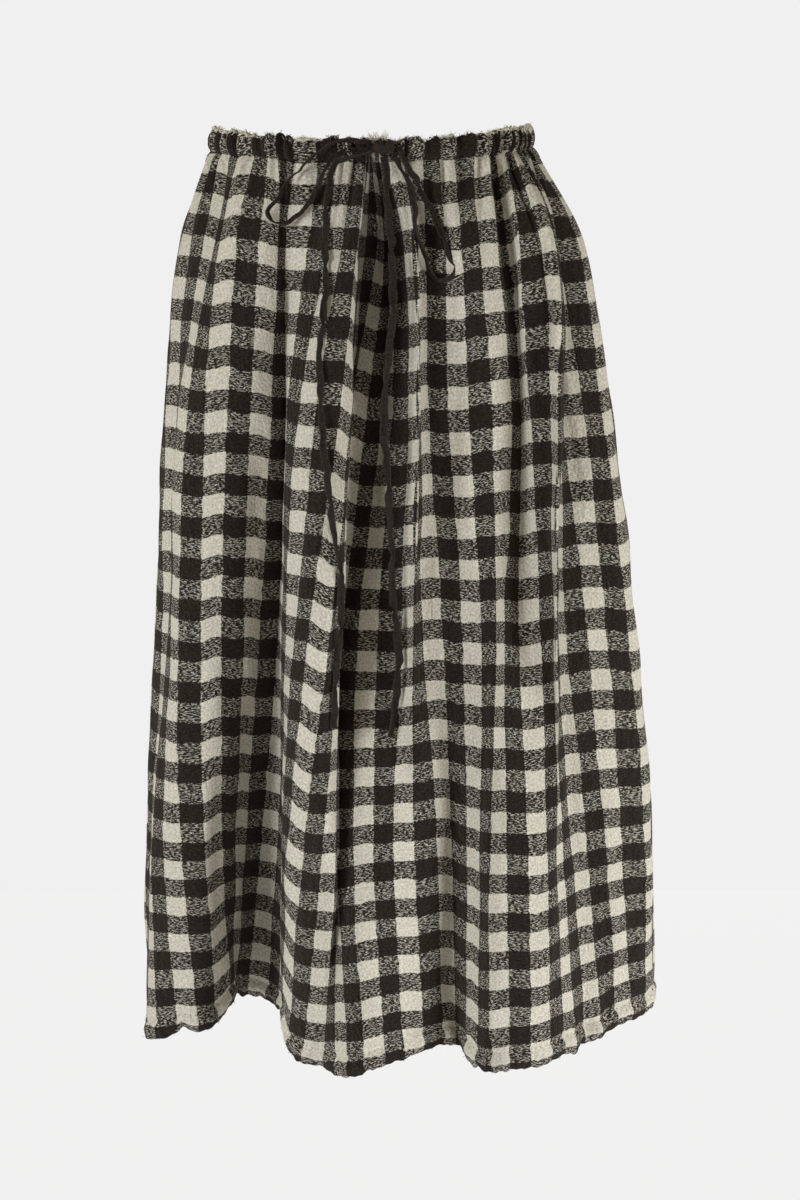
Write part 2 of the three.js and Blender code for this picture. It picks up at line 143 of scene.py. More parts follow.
# The back hangs on half ovals of these depths. A row has the fold's thread, its turn from the right
# seam, how far it stands out of the oval at each station, and its lift.
BACK_DEPTH = (96, 112, 132, 152, 168)
BACK_FOLDS = np.array([
    [40, 9, 3, 4, 4, 5, 8, 10],
    [42.5, 22, 11, 12, 12, 14, 14, 6],
    [45, 33, -11, -12, -10, -10, -12, 2],
    [47.5, 44, 9, 12, 14, 16, 18, -2],
    [50, 56, -12, -14, -12, -14, -16, 0],
    [52, 66, 8, 10, 8, 8, 6, -3],
    [54.5, 78, -9, -8, -4, 0, 4, -5],
    [57, 90, 9, 12, 14, 18, 20, -8],
    [59.5, 102, -13, -16, -16, -16, -18, -4],
    [62, 113, 7, 10, 12, 12, 10, -6],
    [64.5, 124, -12, -12, -8, -4, -2, -3],
    [67, 136, 9, 12, 14, 16, 20, -7],
    [69.5, 147, -10, -12, -14, -16, -16, 0],
    [72, 158, 7, 8, 10, 10, 8, -2],
    [74.5, 170, -3, -2, -2, 0, 0, -4],
])
BACK_TURNS = (92.0, 266.0)

# How high the middle of the 1st, 6th, 11th, 16th, 21st and 22nd light weft stripe lies above the hem,
# along the cloth, at these threads. The stripes drift a little, because the cloth hangs in folds.
WEFT_ROWS = np.array([
    [-1.4, 16, 187, 361, 534, 720, 754],
    [0.5, 20, 186, 360, 536, 717, 752],
    [2.5, 14, 175, 351, 527, 706, 742],
    [4.5, 10, 172, 346, 518, 696, 730],
    [5.5, 7, 168, 341, 513, 691, 726],
    [6.5, 8, 172, 346, 518, 694, 730],
    [8.5, 9, 172, 345, 518, 697, 730],
    [10.5, 8, 170, 344, 522, 704, 740],
    [12.5, 6, 171, 345, 523, 704, 738],
    [14.5, 12, 181, 354, 528, 712, 750],
    [16.5, 21, 182, 352, 526, 712, 762],
    [18.5, 18, 179, 339, 512, 708, 752],
    [19.5, 17, 174, 332, 504, 698, 741],
    [21.5, 9, 168, 330, 501, 690, 726],
    [23.5, 9, 166, 334, 508, 700, 735],
    [24.5, 14, 172, 343, 517, 708, 744],
    [25.5, 10, 174, 348, 525, 718, 754],
    [28.5, 9, 166, 341, 528, 721, 758],
    [30.5, 11, 167, 338, 520, 719, 758],
    [32.5, 10, 170, 340, 519, 705, 744],
    [34.5, 9, 162, 332, 512, 698, 732],
    [36.5, 6, 158, 323, 512, 698, 730],
    [40, 7, 165, 337, 513, 688, 723],
    [60, 8, 168, 341, 516, 692, 727],
    [70, 10, 172, 345, 519, 698, 733],
    [76.6, 16, 187, 361, 534, 720, 754],
])
WEFT_NUMBERS = (0.5, 10.5, 20.5, 30.5, 40.5, 42.5)

# Creases: the thread and the distance below the casing where each starts and ends, its
# half width in stripes, and how far it stands out (or in).
CREASES = np.array([
    [3.2, 4, 2.6, 150, 0.34, -2.6],
    [4.6, 2, 4.9, 190, 0.30, 2.4],
    [7.6, 0, 7.5, 120, 0.28, -2.2],
    [9.9, 10, 9.5, 210, 0.40, 2.0],
    [11.0, 4, 10.9, 120, 0.25, -2.4],
    [22.6, 4, 22.0, 240, 0.30, -2.0],
    [24.4, 0, 24.8, 140, 0.36, 2.0],
    [25.9, 6, 26.3, 90, 0.24, -3.4],
    [26.8, 0, 27.2, 150, 0.28, 3.0],
    [27.7, 0, 28.3, 210, 0.22, -4.0],
    [28.6, 2, 29.6, 300, 0.30, 3.8],
    [29.4, 0, 30.6, 250, 0.20, -4.6],
    [30.2, 0, 31.8, 360, 0.28, 3.8],
    [31.1, 4, 32.6, 240, 0.20, -4.4],
    [31.9, 0, 33.8, 280, 0.26, 3.4],
    [32.8, 2, 34.2, 200, 0.20, -3.6],
    [33.8, 20, 34.9, 330, 0.26, 2.6],
    [27.4, 0, 27.8, 210, 0.45, -3.6],
    [31.2, 0, 31.8, 300, 0.60, 3.6],
    [33.0, 0, 34.0, 280, 0.50, -5.5],
    [25.6, 240, 26.6, 480, 0.60, -1.6],
    [30.2, 300, 31.2, 560, 0.50, 1.8],
    [19.6, 360, 21.4, 620, 0.60, -1.6],
    [2.4, 300, 1.8, 560, 0.50, -1.8],
    [6.0, 380, 5.4, 600, 0.50, 1.8],
    [13.2, 420, 14.6, 640, 0.50, 1.6],
    [42.0, 0, 41.2, 160, 0.30, 2.6],
    [44.2, 4, 44.6, 240, 0.34, -2.6],
    [47.2, 0, 47.9, 130, 0.28, 2.4],
    [49.4, 2, 50.4, 300, 0.32, -2.8],
    [52.8, 6, 52.2, 170, 0.30, 2.2],
    [55.6, 0, 55.0, 220, 0.30, -2.6],
    [58.1, 2, 58.4, 110, 0.26, 2.4],
    [60.7, 0, 61.2, 280, 0.34, -2.4],
    [63.3, 4, 62.8, 150, 0.28, 2.6],
    [66.0, 0, 66.6, 230, 0.30, -2.2],
    [68.5, 4, 68.0, 180, 0.32, 2.4],
    [71.1, 2, 71.6, 120, 0.26, -2.6],
    [73.6, 0, 73.0, 260, 0.30, 2.2],
    [46.0, 330, 46.8, 600, 0.60, 1.8],
    [56.4, 300, 55.6, 580, 0.60, -1.8],
    [65.2, 340, 66.0, 620, 0.60, 1.6],
])

CASING = {"height": 15.5, "thickness": 8.0, "inset": 0.9, "wall": 1.5, "stripe": 24.0}
HEM = {"turn": 13.0, "cloth": 1.4, "gap": 0.8, "roll": 4.6}

PANEL_COLUMNS = 330
PANEL_ROWS = (26, 96, 18)        # rows close to the casing, down the middle and close to the hem
CASING_COLUMNS = 380
CASING_SECTION = 26              # points round the channel's section
WAIST_RADIUS = 116               # about the oval's mean, by which its turns become lengths
LEANING = (25, 38)               # between these threads the casing's gathers lean and swell more
TUFT = (14, 19.8)                # the threads of the torn tuft on the raw edge
HEM_TUFT = (15.7, 16.7)          # and of the small one on the hem
HEM_STITCHES = 14                # the height of the hem's stitches above its lower edge
EYELET_TURNS = (12.5, 355.8)     # where the tape goes into the channel and comes out


# ---------------------------------------------------------------- the cloth's form
def catmull_rom(p0, p1, p2, p3, w):
    """A centripetal Catmull-Rom span from p1 to p2."""
    def root(a, b):
        return np.sqrt(np.linalg.norm(b - a, axis=-1, keepdims=True))

    d0, d1, d2 = root(p0, p1), root(p1, p2), root(p2, p3)
    d1 = np.where(d1 < 1e-4, 1.0, d1)
    d0 = np.where(d0 < 1e-4, d1, d0)
    d2 = np.where(d2 < 1e-4, d1, d2)
    t1 = ((p1 - p0) / d0 - (p2 - p0) / (d0 + d1) + (p2 - p1) / d1) * d1
    t2 = ((p2 - p1) / d1 - (p3 - p1) / (d1 + d2) + (p3 - p2) / d2) * d1
    return p1 + t1 * w + (-3 * p1 + 3 * p2 - 2 * t1 - t2) * w**2 + (2 * p1 - 2 * p2 + t1 + t2) * w**3


def open_curve(points, shares):
    """Points at these shares of the way along open curves. points is (points, ..., 3)."""
    points = np.concatenate([[2 * points[0] - points[1]], points, [2 * points[-1] - points[-2]]])
    spans = len(points) - 3
    place = np.clip(shares, 0, 1) * spans
    start = np.minimum(place.astype(int), spans - 1)
    w = (place - start).reshape(-1, *([1] * (points.ndim - 1)))
    return catmull_rom(points[start], points[start + 1], points[start + 2], points[start + 3], w)


def waist_rise(turn):
    across, along = np.sin(np.radians(turn)), np.cos(np.radians(turn))
    side = np.where(across > 0, RISE["right"], RISE["left"])
    end = np.where(along > 0, RISE["front"], RISE["back"])
    return side * across**2 + end * along**2


def waist_point(turn, outward=0.0, height=0.0):
    """A point of the waist oval, moved outward and up by so many millimetres."""
    across, along = np.sin(np.radians(turn)), np.cos(np.radians(turn))
    x = WAIST["centre"] + (WAIST["half_width"] + outward) * across
    y = -(WAIST["half_depth"] + outward) * along
    return np.stack([x, y, WAIST["stitch"] + waist_rise(turn) + height], -1)


def station_height(station, lift, rise):
    drop = station - WAIST["stitch"]
    share = drop / (STATIONS[-1] - WAIST["stitch"])
    return WAIST["stitch"] + drop + lift * share + rise * (1 - share)


def fold_lines():
    """The points of every fold line, (6, lines, 3), with each line's thread and turn round the waist."""
    lines = []
    for row in FRONT_FOLDS:
        rise = waist_rise(row[1])
        below = [(row[2 + 2 * k], row[3 + 2 * k], station_height(z, row[12], rise))
                 for k, z in enumerate(STATIONS)]
        lines.append([waist_point(row[1]), *below])
    right, left = FRONT_FOLDS[-1], FRONT_FOLDS[0]
    back_turns = BACK_TURNS[0] + (BACK_TURNS[1] - BACK_TURNS[0]) * BACK_FOLDS[:, 1] / 180
    for row, waist_turn in zip(BACK_FOLDS, back_turns):
        rise = waist_rise(waist_turn)
        line = [waist_point(waist_turn)]
        for k, z in enumerate(STATIONS):
            seam_right, seam_left = right[2 + 2 * k:4 + 2 * k], left[2 + 2 * k:4 + 2 * k]
            centre = (seam_right + seam_left) / 2
            spoke = (seam_right - centre) * math.cos(math.radians(row[1]))
            spoke[1] += BACK_DEPTH[k] * math.sin(math.radians(row[1]))
            reach = np.linalg.norm(spoke)
            spoke *= (reach + row[2 + k]) / reach
            line.append((*(centre + spoke), station_height(z, row[7], rise)))
        lines.append(line)
    threads = np.concatenate([FRONT_FOLDS[:, 0], BACK_FOLDS[:, 0]])
    turns = np.concatenate([FRONT_FOLDS[:, 1], back_turns])
    return np.array(lines, float).transpose(1, 0, 2), threads, turns


FOLD_LINES, FOLD_THREADS, FOLD_TURNS = fold_lines()
THREADS_ROUND = np.append(FOLD_THREADS, FOLD_THREADS[0] + ROUND)
TURNS_ROUND = np.append(FOLD_TURNS, FOLD_TURNS[0] + 360)


def rings(shares, threads):
    """Points of the plain form, (rows, columns, 3), at these shares of the way down and threads."""
    down = open_curve(FOLD_LINES, shares)
    count = down.shape[1]
    low = THREADS_ROUND[0]
    place = np.interp((threads - low) % ROUND + low, THREADS_ROUND, np.arange(count + 1))
    start = np.floor(place).astype(int)
    w = (place - start)[None, :, None]
    return catmull_rom(*(down[:, (start + k) % count] for k in (-1, 0, 1, 2)), w)


def turn_of(threads):
    low = THREADS_ROUND[0]
    wraps = np.floor((threads - low) / ROUND)
    return np.interp(threads - wraps * ROUND, THREADS_ROUND, TURNS_ROUND) + 360 * wraps


def normals_of(grid):
    """Outward normals of a grid whose rows run down and whose columns run round."""
    down = np.gradient(grid, axis=0)
    along = np.gradient(grid, axis=1)
    normal = np.cross(down, along)
    return unit(normal)


def lengths_down(grid):
    """How far each point lies below the grid's first row, along the cloth."""
    steps = np.linalg.norm(np.diff(grid, axis=0), axis=-1)
    return np.concatenate([np.zeros((1, grid.shape[1])), np.cumsum(steps, axis=0)])


# ---------------------------------------------------------------- gathers, creases and puckers
def gather_phase(thread):
    return thread / 0.93 + 0.21 * np.sin(0.9 * thread + 0.5) + 0.15 * np.sin(2.3 * thread + 1.1)


def gather_wave(thread):
    """The drawstring's gathers: full rolls with tight creases between, uneven in place and size."""
    roll = 2 * np.abs(np.sin(math.pi * gather_phase(thread))) ** 0.55 - 1
    return (0.72 + 0.28 * np.sin(1.7 * thread + 2.0)) * roll


def gathers(thread, below, pitch):
    """The height of the gathers below the casing. They fade out as the cloth spreads."""
    reach = 24 + 14 * np.sin(0.8 * thread + 0.4) + 9 * np.sin(2.9 * thread)
    pinch = -1.6 * np.exp(-((below / 4.5) ** 2))
    soft = np.sin(2 * math.pi * gather_phase(thread) - math.pi / 2)
    share = np.exp(-below / 12)
    wave = share * gather_wave(thread) + (1 - share) * 0.9 * soft
    swell = (1 - 0.6 * np.exp(-below / 5)) * np.exp(-below / reach)
    return 0.54 * np.minimum(pitch, 12) * wave * swell + pinch


def smooth_step(x):
    x = np.clip(x, 0, 1)
    return x * x * (3 - 2 * x)


def creases(thread, below):
    height = np.zeros_like(thread)
    for thread_0, below_0, thread_1, below_1, half_width, stands in CREASES:
        share = (below - below_0) / (below_1 - below_0)
        line = thread_0 + (thread_1 - thread_0) * np.clip(share, 0, 1)
        ends = smooth_step(share * 8 + 0.5) * smooth_step((1 - share) * 1.8)
        height += stands * ends * np.exp(-((thread - line) / half_width) ** 2)
    return height


SOFT_WAVES = [
    (rng.uniform(0.15, 0.75), rng.uniform(0.3, 1.5) / 100, rng.uniform(0, 6.3), rng.uniform(-1, 1))
    for _ in range(14)]


def soft_waves(thread, below):
    """Slack in the cloth, longer down the skirt than across it."""
    height = np.zeros_like(thread)
    for across, down, start, slant in SOFT_WAVES:
        height += np.sin(2 * math.pi * (across * thread + slant * down * below) + start)
    return 0.28 * height


PUCKER_COUNT = 96
PUCKERS = [
    (SEAMS["left"] + ROUND * (k + rng.uniform(-0.35, 0.35)) / PUCKER_COUNT, rng.uniform(0.14, 0.34),
     rng.uniform(-2.4, 1.6)) for k in range(PUCKER_COUNT)]
# Places where the hem is caught up: thread, half width in stripes, and how far it is lifted.
CATCHES = [(2.25, 0.22, 6.0), (7.2, 0.2, 3.0), (13.6, 0.25, -2.5), (18.2, 0.2, 3.0), (25.1, 0.3, 3.5),
           (31.0, 0.25, -2.0), (44.0, 0.3, 3.0), (52.5, 0.25, -2.0), (61.3, 0.3, 4.0), (69.0, 0.25, 3.0)]


def hem_puckers(thread, above):
    """Where the hem's stitches pull the cloth together, and the rolled edge below them."""
    height = np.zeros_like(thread)
    reach = np.exp(-((above - 10) / 14) ** 2)
    for middle, half_width, stands in PUCKERS:
        for wrap in (-ROUND, 0, ROUND):
            height += stands * np.exp(-((thread - middle - wrap) / half_width) ** 2)
    turn = 2 * math.pi * thread / ROUND
    lumps = 0.75 + 0.35 * np.sin(31 * turn) * np.sin(12 * turn + 1)
    roll = 2.6 * np.exp(-((above - 7) / 4.5) ** 2) - 2.0 * np.exp(-((above - 14.5) / 2.4) ** 2)
    return height * reach + lumps * roll


def hem_lift(thread, above):
    """The uneven lower edge."""
    turn = 2 * math.pi * thread / ROUND
    lift = (0.45 * np.sin(83 * turn + 3 * np.sin(9 * turn)) + 0.5 * np.sin(37 * turn + 1)
            + 0.5 * np.sin(131 * turn + 2 * np.sin(17 * turn)))
    for middle, half_width, amount in CATCHES:
        lift = lift + amount * np.exp(-((thread - middle) / half_width) ** 2)
    return lift * np.exp(-np.maximum(above, 0) / 12)


def seam_dip(thread):
    near = np.minimum(abs(thread - SEAMS["right"]),
                      np.minimum(abs(thread - SEAMS["left"]), abs(thread - SEAMS["left"] - ROUND)))
    return -1.4 * np.exp(-(near / 0.12) ** 2)


# ---------------------------------------------------------------- meshes
def grid_faces(rows, columns, start=0, flip=False, wrap=False):
    """Quads between neighbouring rows and columns, as vertex numbers."""
    r = np.arange(rows - 1)[:, None]
    c = np.arange(columns if wrap else columns - 1)[None, :]
    n = (c + 1) % columns
    quads = np.stack([start + r * columns + c, start + (r + 1) * columns + c,
                      start + (r + 1) * columns + n, start + r * columns + n], -1).reshape(-1, 4)
    return quads[:, ::-1] if flip else quads


def piece_from(name, points, faces, uv, material):
    """A smooth-shaded mesh of quads. uv has a row for each point, in stripes of the check or in metres."""
    mesh = bpy.data.meshes.new(name)
    mesh.vertices.add(len(points))
    mesh.vertices.foreach_set("co", np.asarray(points, np.float32).ravel())
    mesh.loops.add(faces.size)
    mesh.loops.foreach_set("vertex_index", faces.astype(np.int32).ravel())
    mesh.polygons.add(len(faces))
    mesh.polygons.foreach_set("loop_start", np.arange(0, faces.size, 4, dtype=np.int32))
    mesh.polygons.foreach_set("loop_total", np.full(len(faces), 4, np.int32))
    layer = mesh.uv_layers.new(name="UVMap")
    layer.data.foreach_set("uv", np.asarray(uv, np.float32)[faces.ravel()].ravel())
    mesh.polygons.foreach_set("use_smooth", np.ones(len(faces), bool))
    mesh.update(calc_edges=True)
    mesh.validate()
    mesh.materials.append(material)
    return in_scene(name, mesh)


def wall_piece(name, outer, inner, uv, material):
    """A closed wall between an outer and an inner grid, in millimetres."""
    rows, columns = outer.shape[:2]
    total = rows * columns
    points = np.concatenate([outer.reshape(-1, 3), inner.reshape(-1, 3)]) * MM
    both_uv = np.concatenate([uv.reshape(-1, 2)] * 2)
    number = np.arange(total).reshape(rows, columns)
    faces = [grid_faces(rows, columns), grid_faces(rows, columns, start=total, flip=True)]
    edges = ((number[0], False), (number[-1], True), (number[:, 0], True), (number[:, -1], False))
    for edge, flip in edges:
        rim = np.stack([edge[:-1], edge[1:], edge[1:] + total, edge[:-1] + total], -1)
        faces.append(rim[:, ::-1] if flip else rim)
    return piece_from(name, points, np.concatenate(faces), both_uv, material)


# ---------------------------------------------------------------- panels
def thread_span(side):
    """A side's first and last thread, half a gap short of the seams."""
    half_gap = SEAM_GAP / 2 / WARP_STRIPE
    if side == "front":
        return SEAMS["left"] + half_gap, SEAMS["right"] - half_gap
    return SEAMS["right"] + half_gap, SEAMS["left"] + ROUND - half_gap


def panel_shares():
    """Rows of a panel, close together where it is gathered and at the hem."""
    top, middle, bottom = PANEL_ROWS
    return np.concatenate([
        np.linspace(0, 0.08, top, endpoint=False),
        np.linspace(0.08, 0.965, middle, endpoint=False),
        np.linspace(0.965, 1, bottom + 1),
    ])


def weft_place(thread, above):
    """How many stripes of the check lie between a point and the first light stripe at the hem."""
    place = np.empty_like(above)
    rows = np.array([np.interp(thread, WEFT_ROWS[:, 0], column) for column in WEFT_ROWS[:, 1:].T]).T
    count = (-2, 0, *WEFT_NUMBERS, WEFT_NUMBERS[-1] + 4)
    for k, heights in enumerate(rows):
        # The lowest light stripe is cut short, and the next dark stripe is laid along the lower edge, at
        # least the roll's height, as painted shade under the rolled edge.
        edge = max(heights[0] - WEFT_STRIPE / 2, HEM["roll"])
        known = (edge - 2 * WEFT_STRIPE, edge, max(heights[0], edge + 6.5), *heights[1:],
                 heights[-1] + 4 * WEFT_STRIPE)
        place[:, k] = np.interp(above[:, k], known, count)
    return place


def cloth_form(threads, shares):
    """The outer face of the hanging cloth, with its place in the check, and each point's height above the
    hem.
    """
    plain = rings(shares, threads)
    below = lengths_down(plain)
    above = below[-1:] - below
    thread = np.broadcast_to(threads, below.shape)
    spread = np.linalg.norm(np.gradient(plain, axis=1), axis=-1) / np.gradient(threads)[None, :]
    height = gathers(thread, below, 0.93 * spread)
    height = height + creases(thread, below) + soft_waves(thread, below) * smooth_step(below / 60)
    height = height + hem_puckers(thread, above) + seam_dip(thread)
    outer = plain + normals_of(plain) * height[..., None]
    outer[..., 2] += hem_lift(thread, above)
    uv = np.stack([thread, weft_place(threads, above)], -1)
    return outer, uv, above


EXTRA = 3        # columns worked out past each seam, so that normals match across it


def panel(side):
    """Returns the panel's outer and inner faces, its uv and each point's height above the hem."""
    threads = np.linspace(*thread_span(side), PANEL_COLUMNS + 1)
    step = threads[1] - threads[0]
    longer = np.concatenate([threads[0] + step * np.arange(-EXTRA, 0), threads,
                             threads[-1] + step * np.arange(1, EXTRA + 1)])
    outer, uv, above = cloth_form(longer, panel_shares())
    normal = normals_of(outer)
    inner = outer - normal * CLOTH
    keep = slice(EXTRA, -EXTRA)
    return outer[:, keep], inner[:, keep], normal[:, keep], uv[:, keep], above[:, keep]


def hem_turning(outer, normal, uv, above):
    """The fold at the lower edge and the turning inside it, following the panel."""
    edge, edge_normal = outer[-1], normal[-1]
    downward = unit(outer[-1] - outer[-2])
    depth = CLOTH + HEM["gap"] + HEM["cloth"]
    radius = depth / 2
    rows_out, rows_in, along = [], [], []
    for angle in np.linspace(0, math.pi, 9):
        c, s, shrink = math.cos(angle), math.sin(angle), radius - HEM["cloth"]
        rows_out.append(edge + edge_normal * radius * (c - 1) + downward * radius * s)
        rows_in.append(edge - edge_normal * (radius - shrink * c) + downward * shrink * s)
        along.append(radius * angle)
    heights = above[:, above.shape[1] // 2]
    for k in range(len(heights) - 2, -1, -1):
        if heights[k] > HEM["turn"]:
            break
        rows_out.append(outer[k] - normal[k] * depth)
        rows_in.append(outer[k] - normal[k] * (depth - HEM["cloth"]))
        along.append(radius * math.pi + heights[k])
    turned, wall = np.array(rows_out), np.array(rows_in)
    place = uv[-1][None] - np.stack([np.zeros(len(along)), np.array(along) / WEFT_STRIPE], -1)[:, None]
    return turned, wall, place


# ---------------------------------------------------------------- casing
def casing_form(threads):
    """The gathered channel: closed loops of its outer face and of its inside, by column."""
    turns = turn_of(threads)
    spread = np.gradient(turns) / np.gradient(threads) * math.radians(1) * WAIST_RADIUS
    room = np.clip(0.46 * spread, 0, 4.2)
    # The gathers lean and swell more towards the right side.
    right = smooth_step((threads - LEANING[0]) / 4) * smooth_step((LEANING[1] - threads) / 4)
    ragged = 0.9 * np.sin(2.1 * threads) + 0.7 * np.sin(5.3 * threads + 1) + 0.6 * np.sin(11.7 * threads)
    outer, inner = [], []
    for angle in np.linspace(-90, 270, CASING_SECTION, endpoint=False):
        c, s = math.cos(math.radians(angle)), math.sin(math.radians(angle))
        out_share, up_share = math.copysign(abs(c) ** 0.7, c), math.copysign(abs(s) ** 0.7, s)
        lift = (1 + up_share) / 2
        wave = gather_wave(threads + (0.06 + 0.3 * right) * lift)
        puff = wave * room * (1 + 0.7 * right) * (0.35 + 0.65 * math.sin(math.pi * min(lift * 0.75, 1)))
        fine = 0.45 * np.sin(2 * math.pi * threads / 0.31 + 2 * np.sin(threads) + 2 * lift)
        if out_share >= 0:
            moved = np.maximum(puff + 0.7, -1.9) + 1.2 * right * lift + fine * lift
        else:
            moved = -np.maximum(-0.5 * puff, -1.2) + 0.5 * fine * lift
        # The ends of the oval are drawn in most, and the right one more than the left.
        end = np.sin(np.radians(turns))
        drawn_in = (1.8 + 3.4 * lift) * end**2 + 3.0 * np.maximum(end, 0) ** 10
        moved = moved - drawn_in * (1.0 if out_share >= 0 else 0.6)
        # The raw edge is ragged, and the lower edge comes down over the panel.
        top = lift**3 * (ragged - 0.8 + 0.75 * wave * room * (1 + 0.6 * right))
        top = top - (1 - lift) ** 3 * (2.4 + 0.9 * wave)
        for rows, less in ((outer, 0.0), (inner, CASING["wall"])):
            # The stitching below draws both sides of the channel together.
            drawn = 0.62 + 0.38 * min(lift * 3.5, 1)
            reach = -CASING["inset"] + out_share * (CASING["thickness"] / 2 * drawn - less) + moved * drawn
            tall = CASING["height"] / 2 - less
            rows.append(waist_point(turns, reach, CASING["height"] / 2 + SEAM_GAP + up_share * tall + top))
    return np.array(outer), np.array(inner)


def casing_piece(name, side, uv_top, material):
    threads = np.linspace(*thread_span(side), CASING_COLUMNS)
    outer, inner = casing_form(threads)
    outer, inner = np.roll(outer, -1, axis=0), np.roll(inner, -1, axis=0)
    loops, columns = outer.shape[:2]
    total = loops * columns
    steps = np.linalg.norm(np.diff(np.concatenate([outer, outer[:1]]), axis=0), axis=-1).mean(axis=1)
    along = np.concatenate([[0], np.cumsum(steps)])[:loops]
    # The channel's dark stripe stays level round the right end, where the panel below it runs longer.
    start = np.interp(threads, *uv_top) - 0.8 * np.exp(-((threads - 37.4) / 1.9) ** 2)
    uv = np.stack([np.broadcast_to(threads, (loops, columns)),
                   start[None] + along[:, None] / CASING["stripe"]], -1)
    points = np.concatenate([outer.reshape(-1, 3), inner.reshape(-1, 3)]) * MM
    number = np.arange(total).reshape(loops, columns)
    r = np.arange(loops)[:, None]
    c = np.arange(columns - 1)[None, :]
    n = (r + 1) % loops
    quads = np.stack([number[r, c], number[r, c + 1], number[n, c + 1], number[n, c]], -1).reshape(-1, 4)
    faces = [quads, quads[:, ::-1] + total]
    for column, flip in ((0, False), (columns - 1, True)):
        edge, after = number[:, column], np.roll(number[:, column], -1)
        rim = np.stack([edge, after, after + total, edge + total], -1)
        faces.append(rim[:, ::-1] if flip else rim)
    both_uv = np.concatenate([uv.reshape(-1, 2)] * 2)
    piece = piece_from(name, points, np.concatenate(faces), both_uv, material)
    top = slice(round(loops * 0.40), round(loops * 0.56))
    return piece, outer[top], uv[top]


# ---------------------------------------------------------------- materials
def linear(hex_colour):
    """An sRGB hex colour as linear RGBA."""
    parts = [int(hex_colour[k:k + 2], 16) / 255 for k in (1, 3, 5)]
    return (*(p / 12.92 if p <= 0.04045 else ((p + 0.055) / 1.055) ** 2.4 for p in parts), 1.0)


def new_material(name):
    material = bpy.data.materials.new(name)
    material.use_nodes = True
    material.node_tree.nodes.clear()
    return material


def node(tree, kind, links=None, **settings):
    """Adds a node, with its settings, the values of its inputs and links into them."""
    made = tree.nodes.new(kind)
    for key, value in settings.items():
        setattr(made, key, value)
    for key, value in (links or {}).items():
        socket = made.inputs[key]
        if isinstance(value, bpy.types.NodeSocket):
            tree.links.new(value, socket)
        else:
            socket.default_value = value
    return made


def math_node(tree, operation, a, b=0.0):
    return node(tree, "ShaderNodeMath", {0: a, 1: b}, operation=operation).outputs[0]


def vector_node(tree, operation, a, b):
    return node(tree, "ShaderNodeVectorMath", {0: a, 1: b}, operation=operation).outputs[0]


def noise(tree, vector, scale, detail, roughness=0.5, output="Fac"):
    """Noise in two dimensions, as a number or, from its output "Color", as a vector."""
    return node(tree, "ShaderNodeTexNoise", {
        "Vector": vector, "Scale": scale, "Detail": detail, "Roughness": roughness},
        noise_dimensions="2D").outputs[output]


def mapped(tree, vector, scale, lean=0.0, shift=0.0):
    return node(tree, "ShaderNodeMapping", {
        "Vector": vector, "Location": (shift, shift, 0), "Rotation": (0, 0, lean),
        "Scale": (*scale, 1)}).outputs[0]


def ranged(tree, value, low, high, to_low=0.0, to_high=1.0):
    return node(tree, "ShaderNodeMapRange", {0: value, 1: low, 2: high, 3: to_low, 4: to_high}).outputs[0]


def mixed(tree, share, first, second, blend="MIX"):
    return node(tree, "ShaderNodeMix", {0: share, 6: first, 7: second}, data_type="RGBA",
                blend_type=blend).outputs[2]


def surfaced(material, sockets):
    """Ends a material in one principled surface with these sockets set."""
    tree = material.node_tree
    surface = node(tree, "ShaderNodeBsdfPrincipled", sockets)
    node(tree, "ShaderNodeOutputMaterial", {0: surface.outputs[0]})
    return material


def bumped(tree, height, distance):
    return node(tree, "ShaderNodeBump", {"Strength": 1.0, "Distance": distance, "Height": height}).outputs[0]


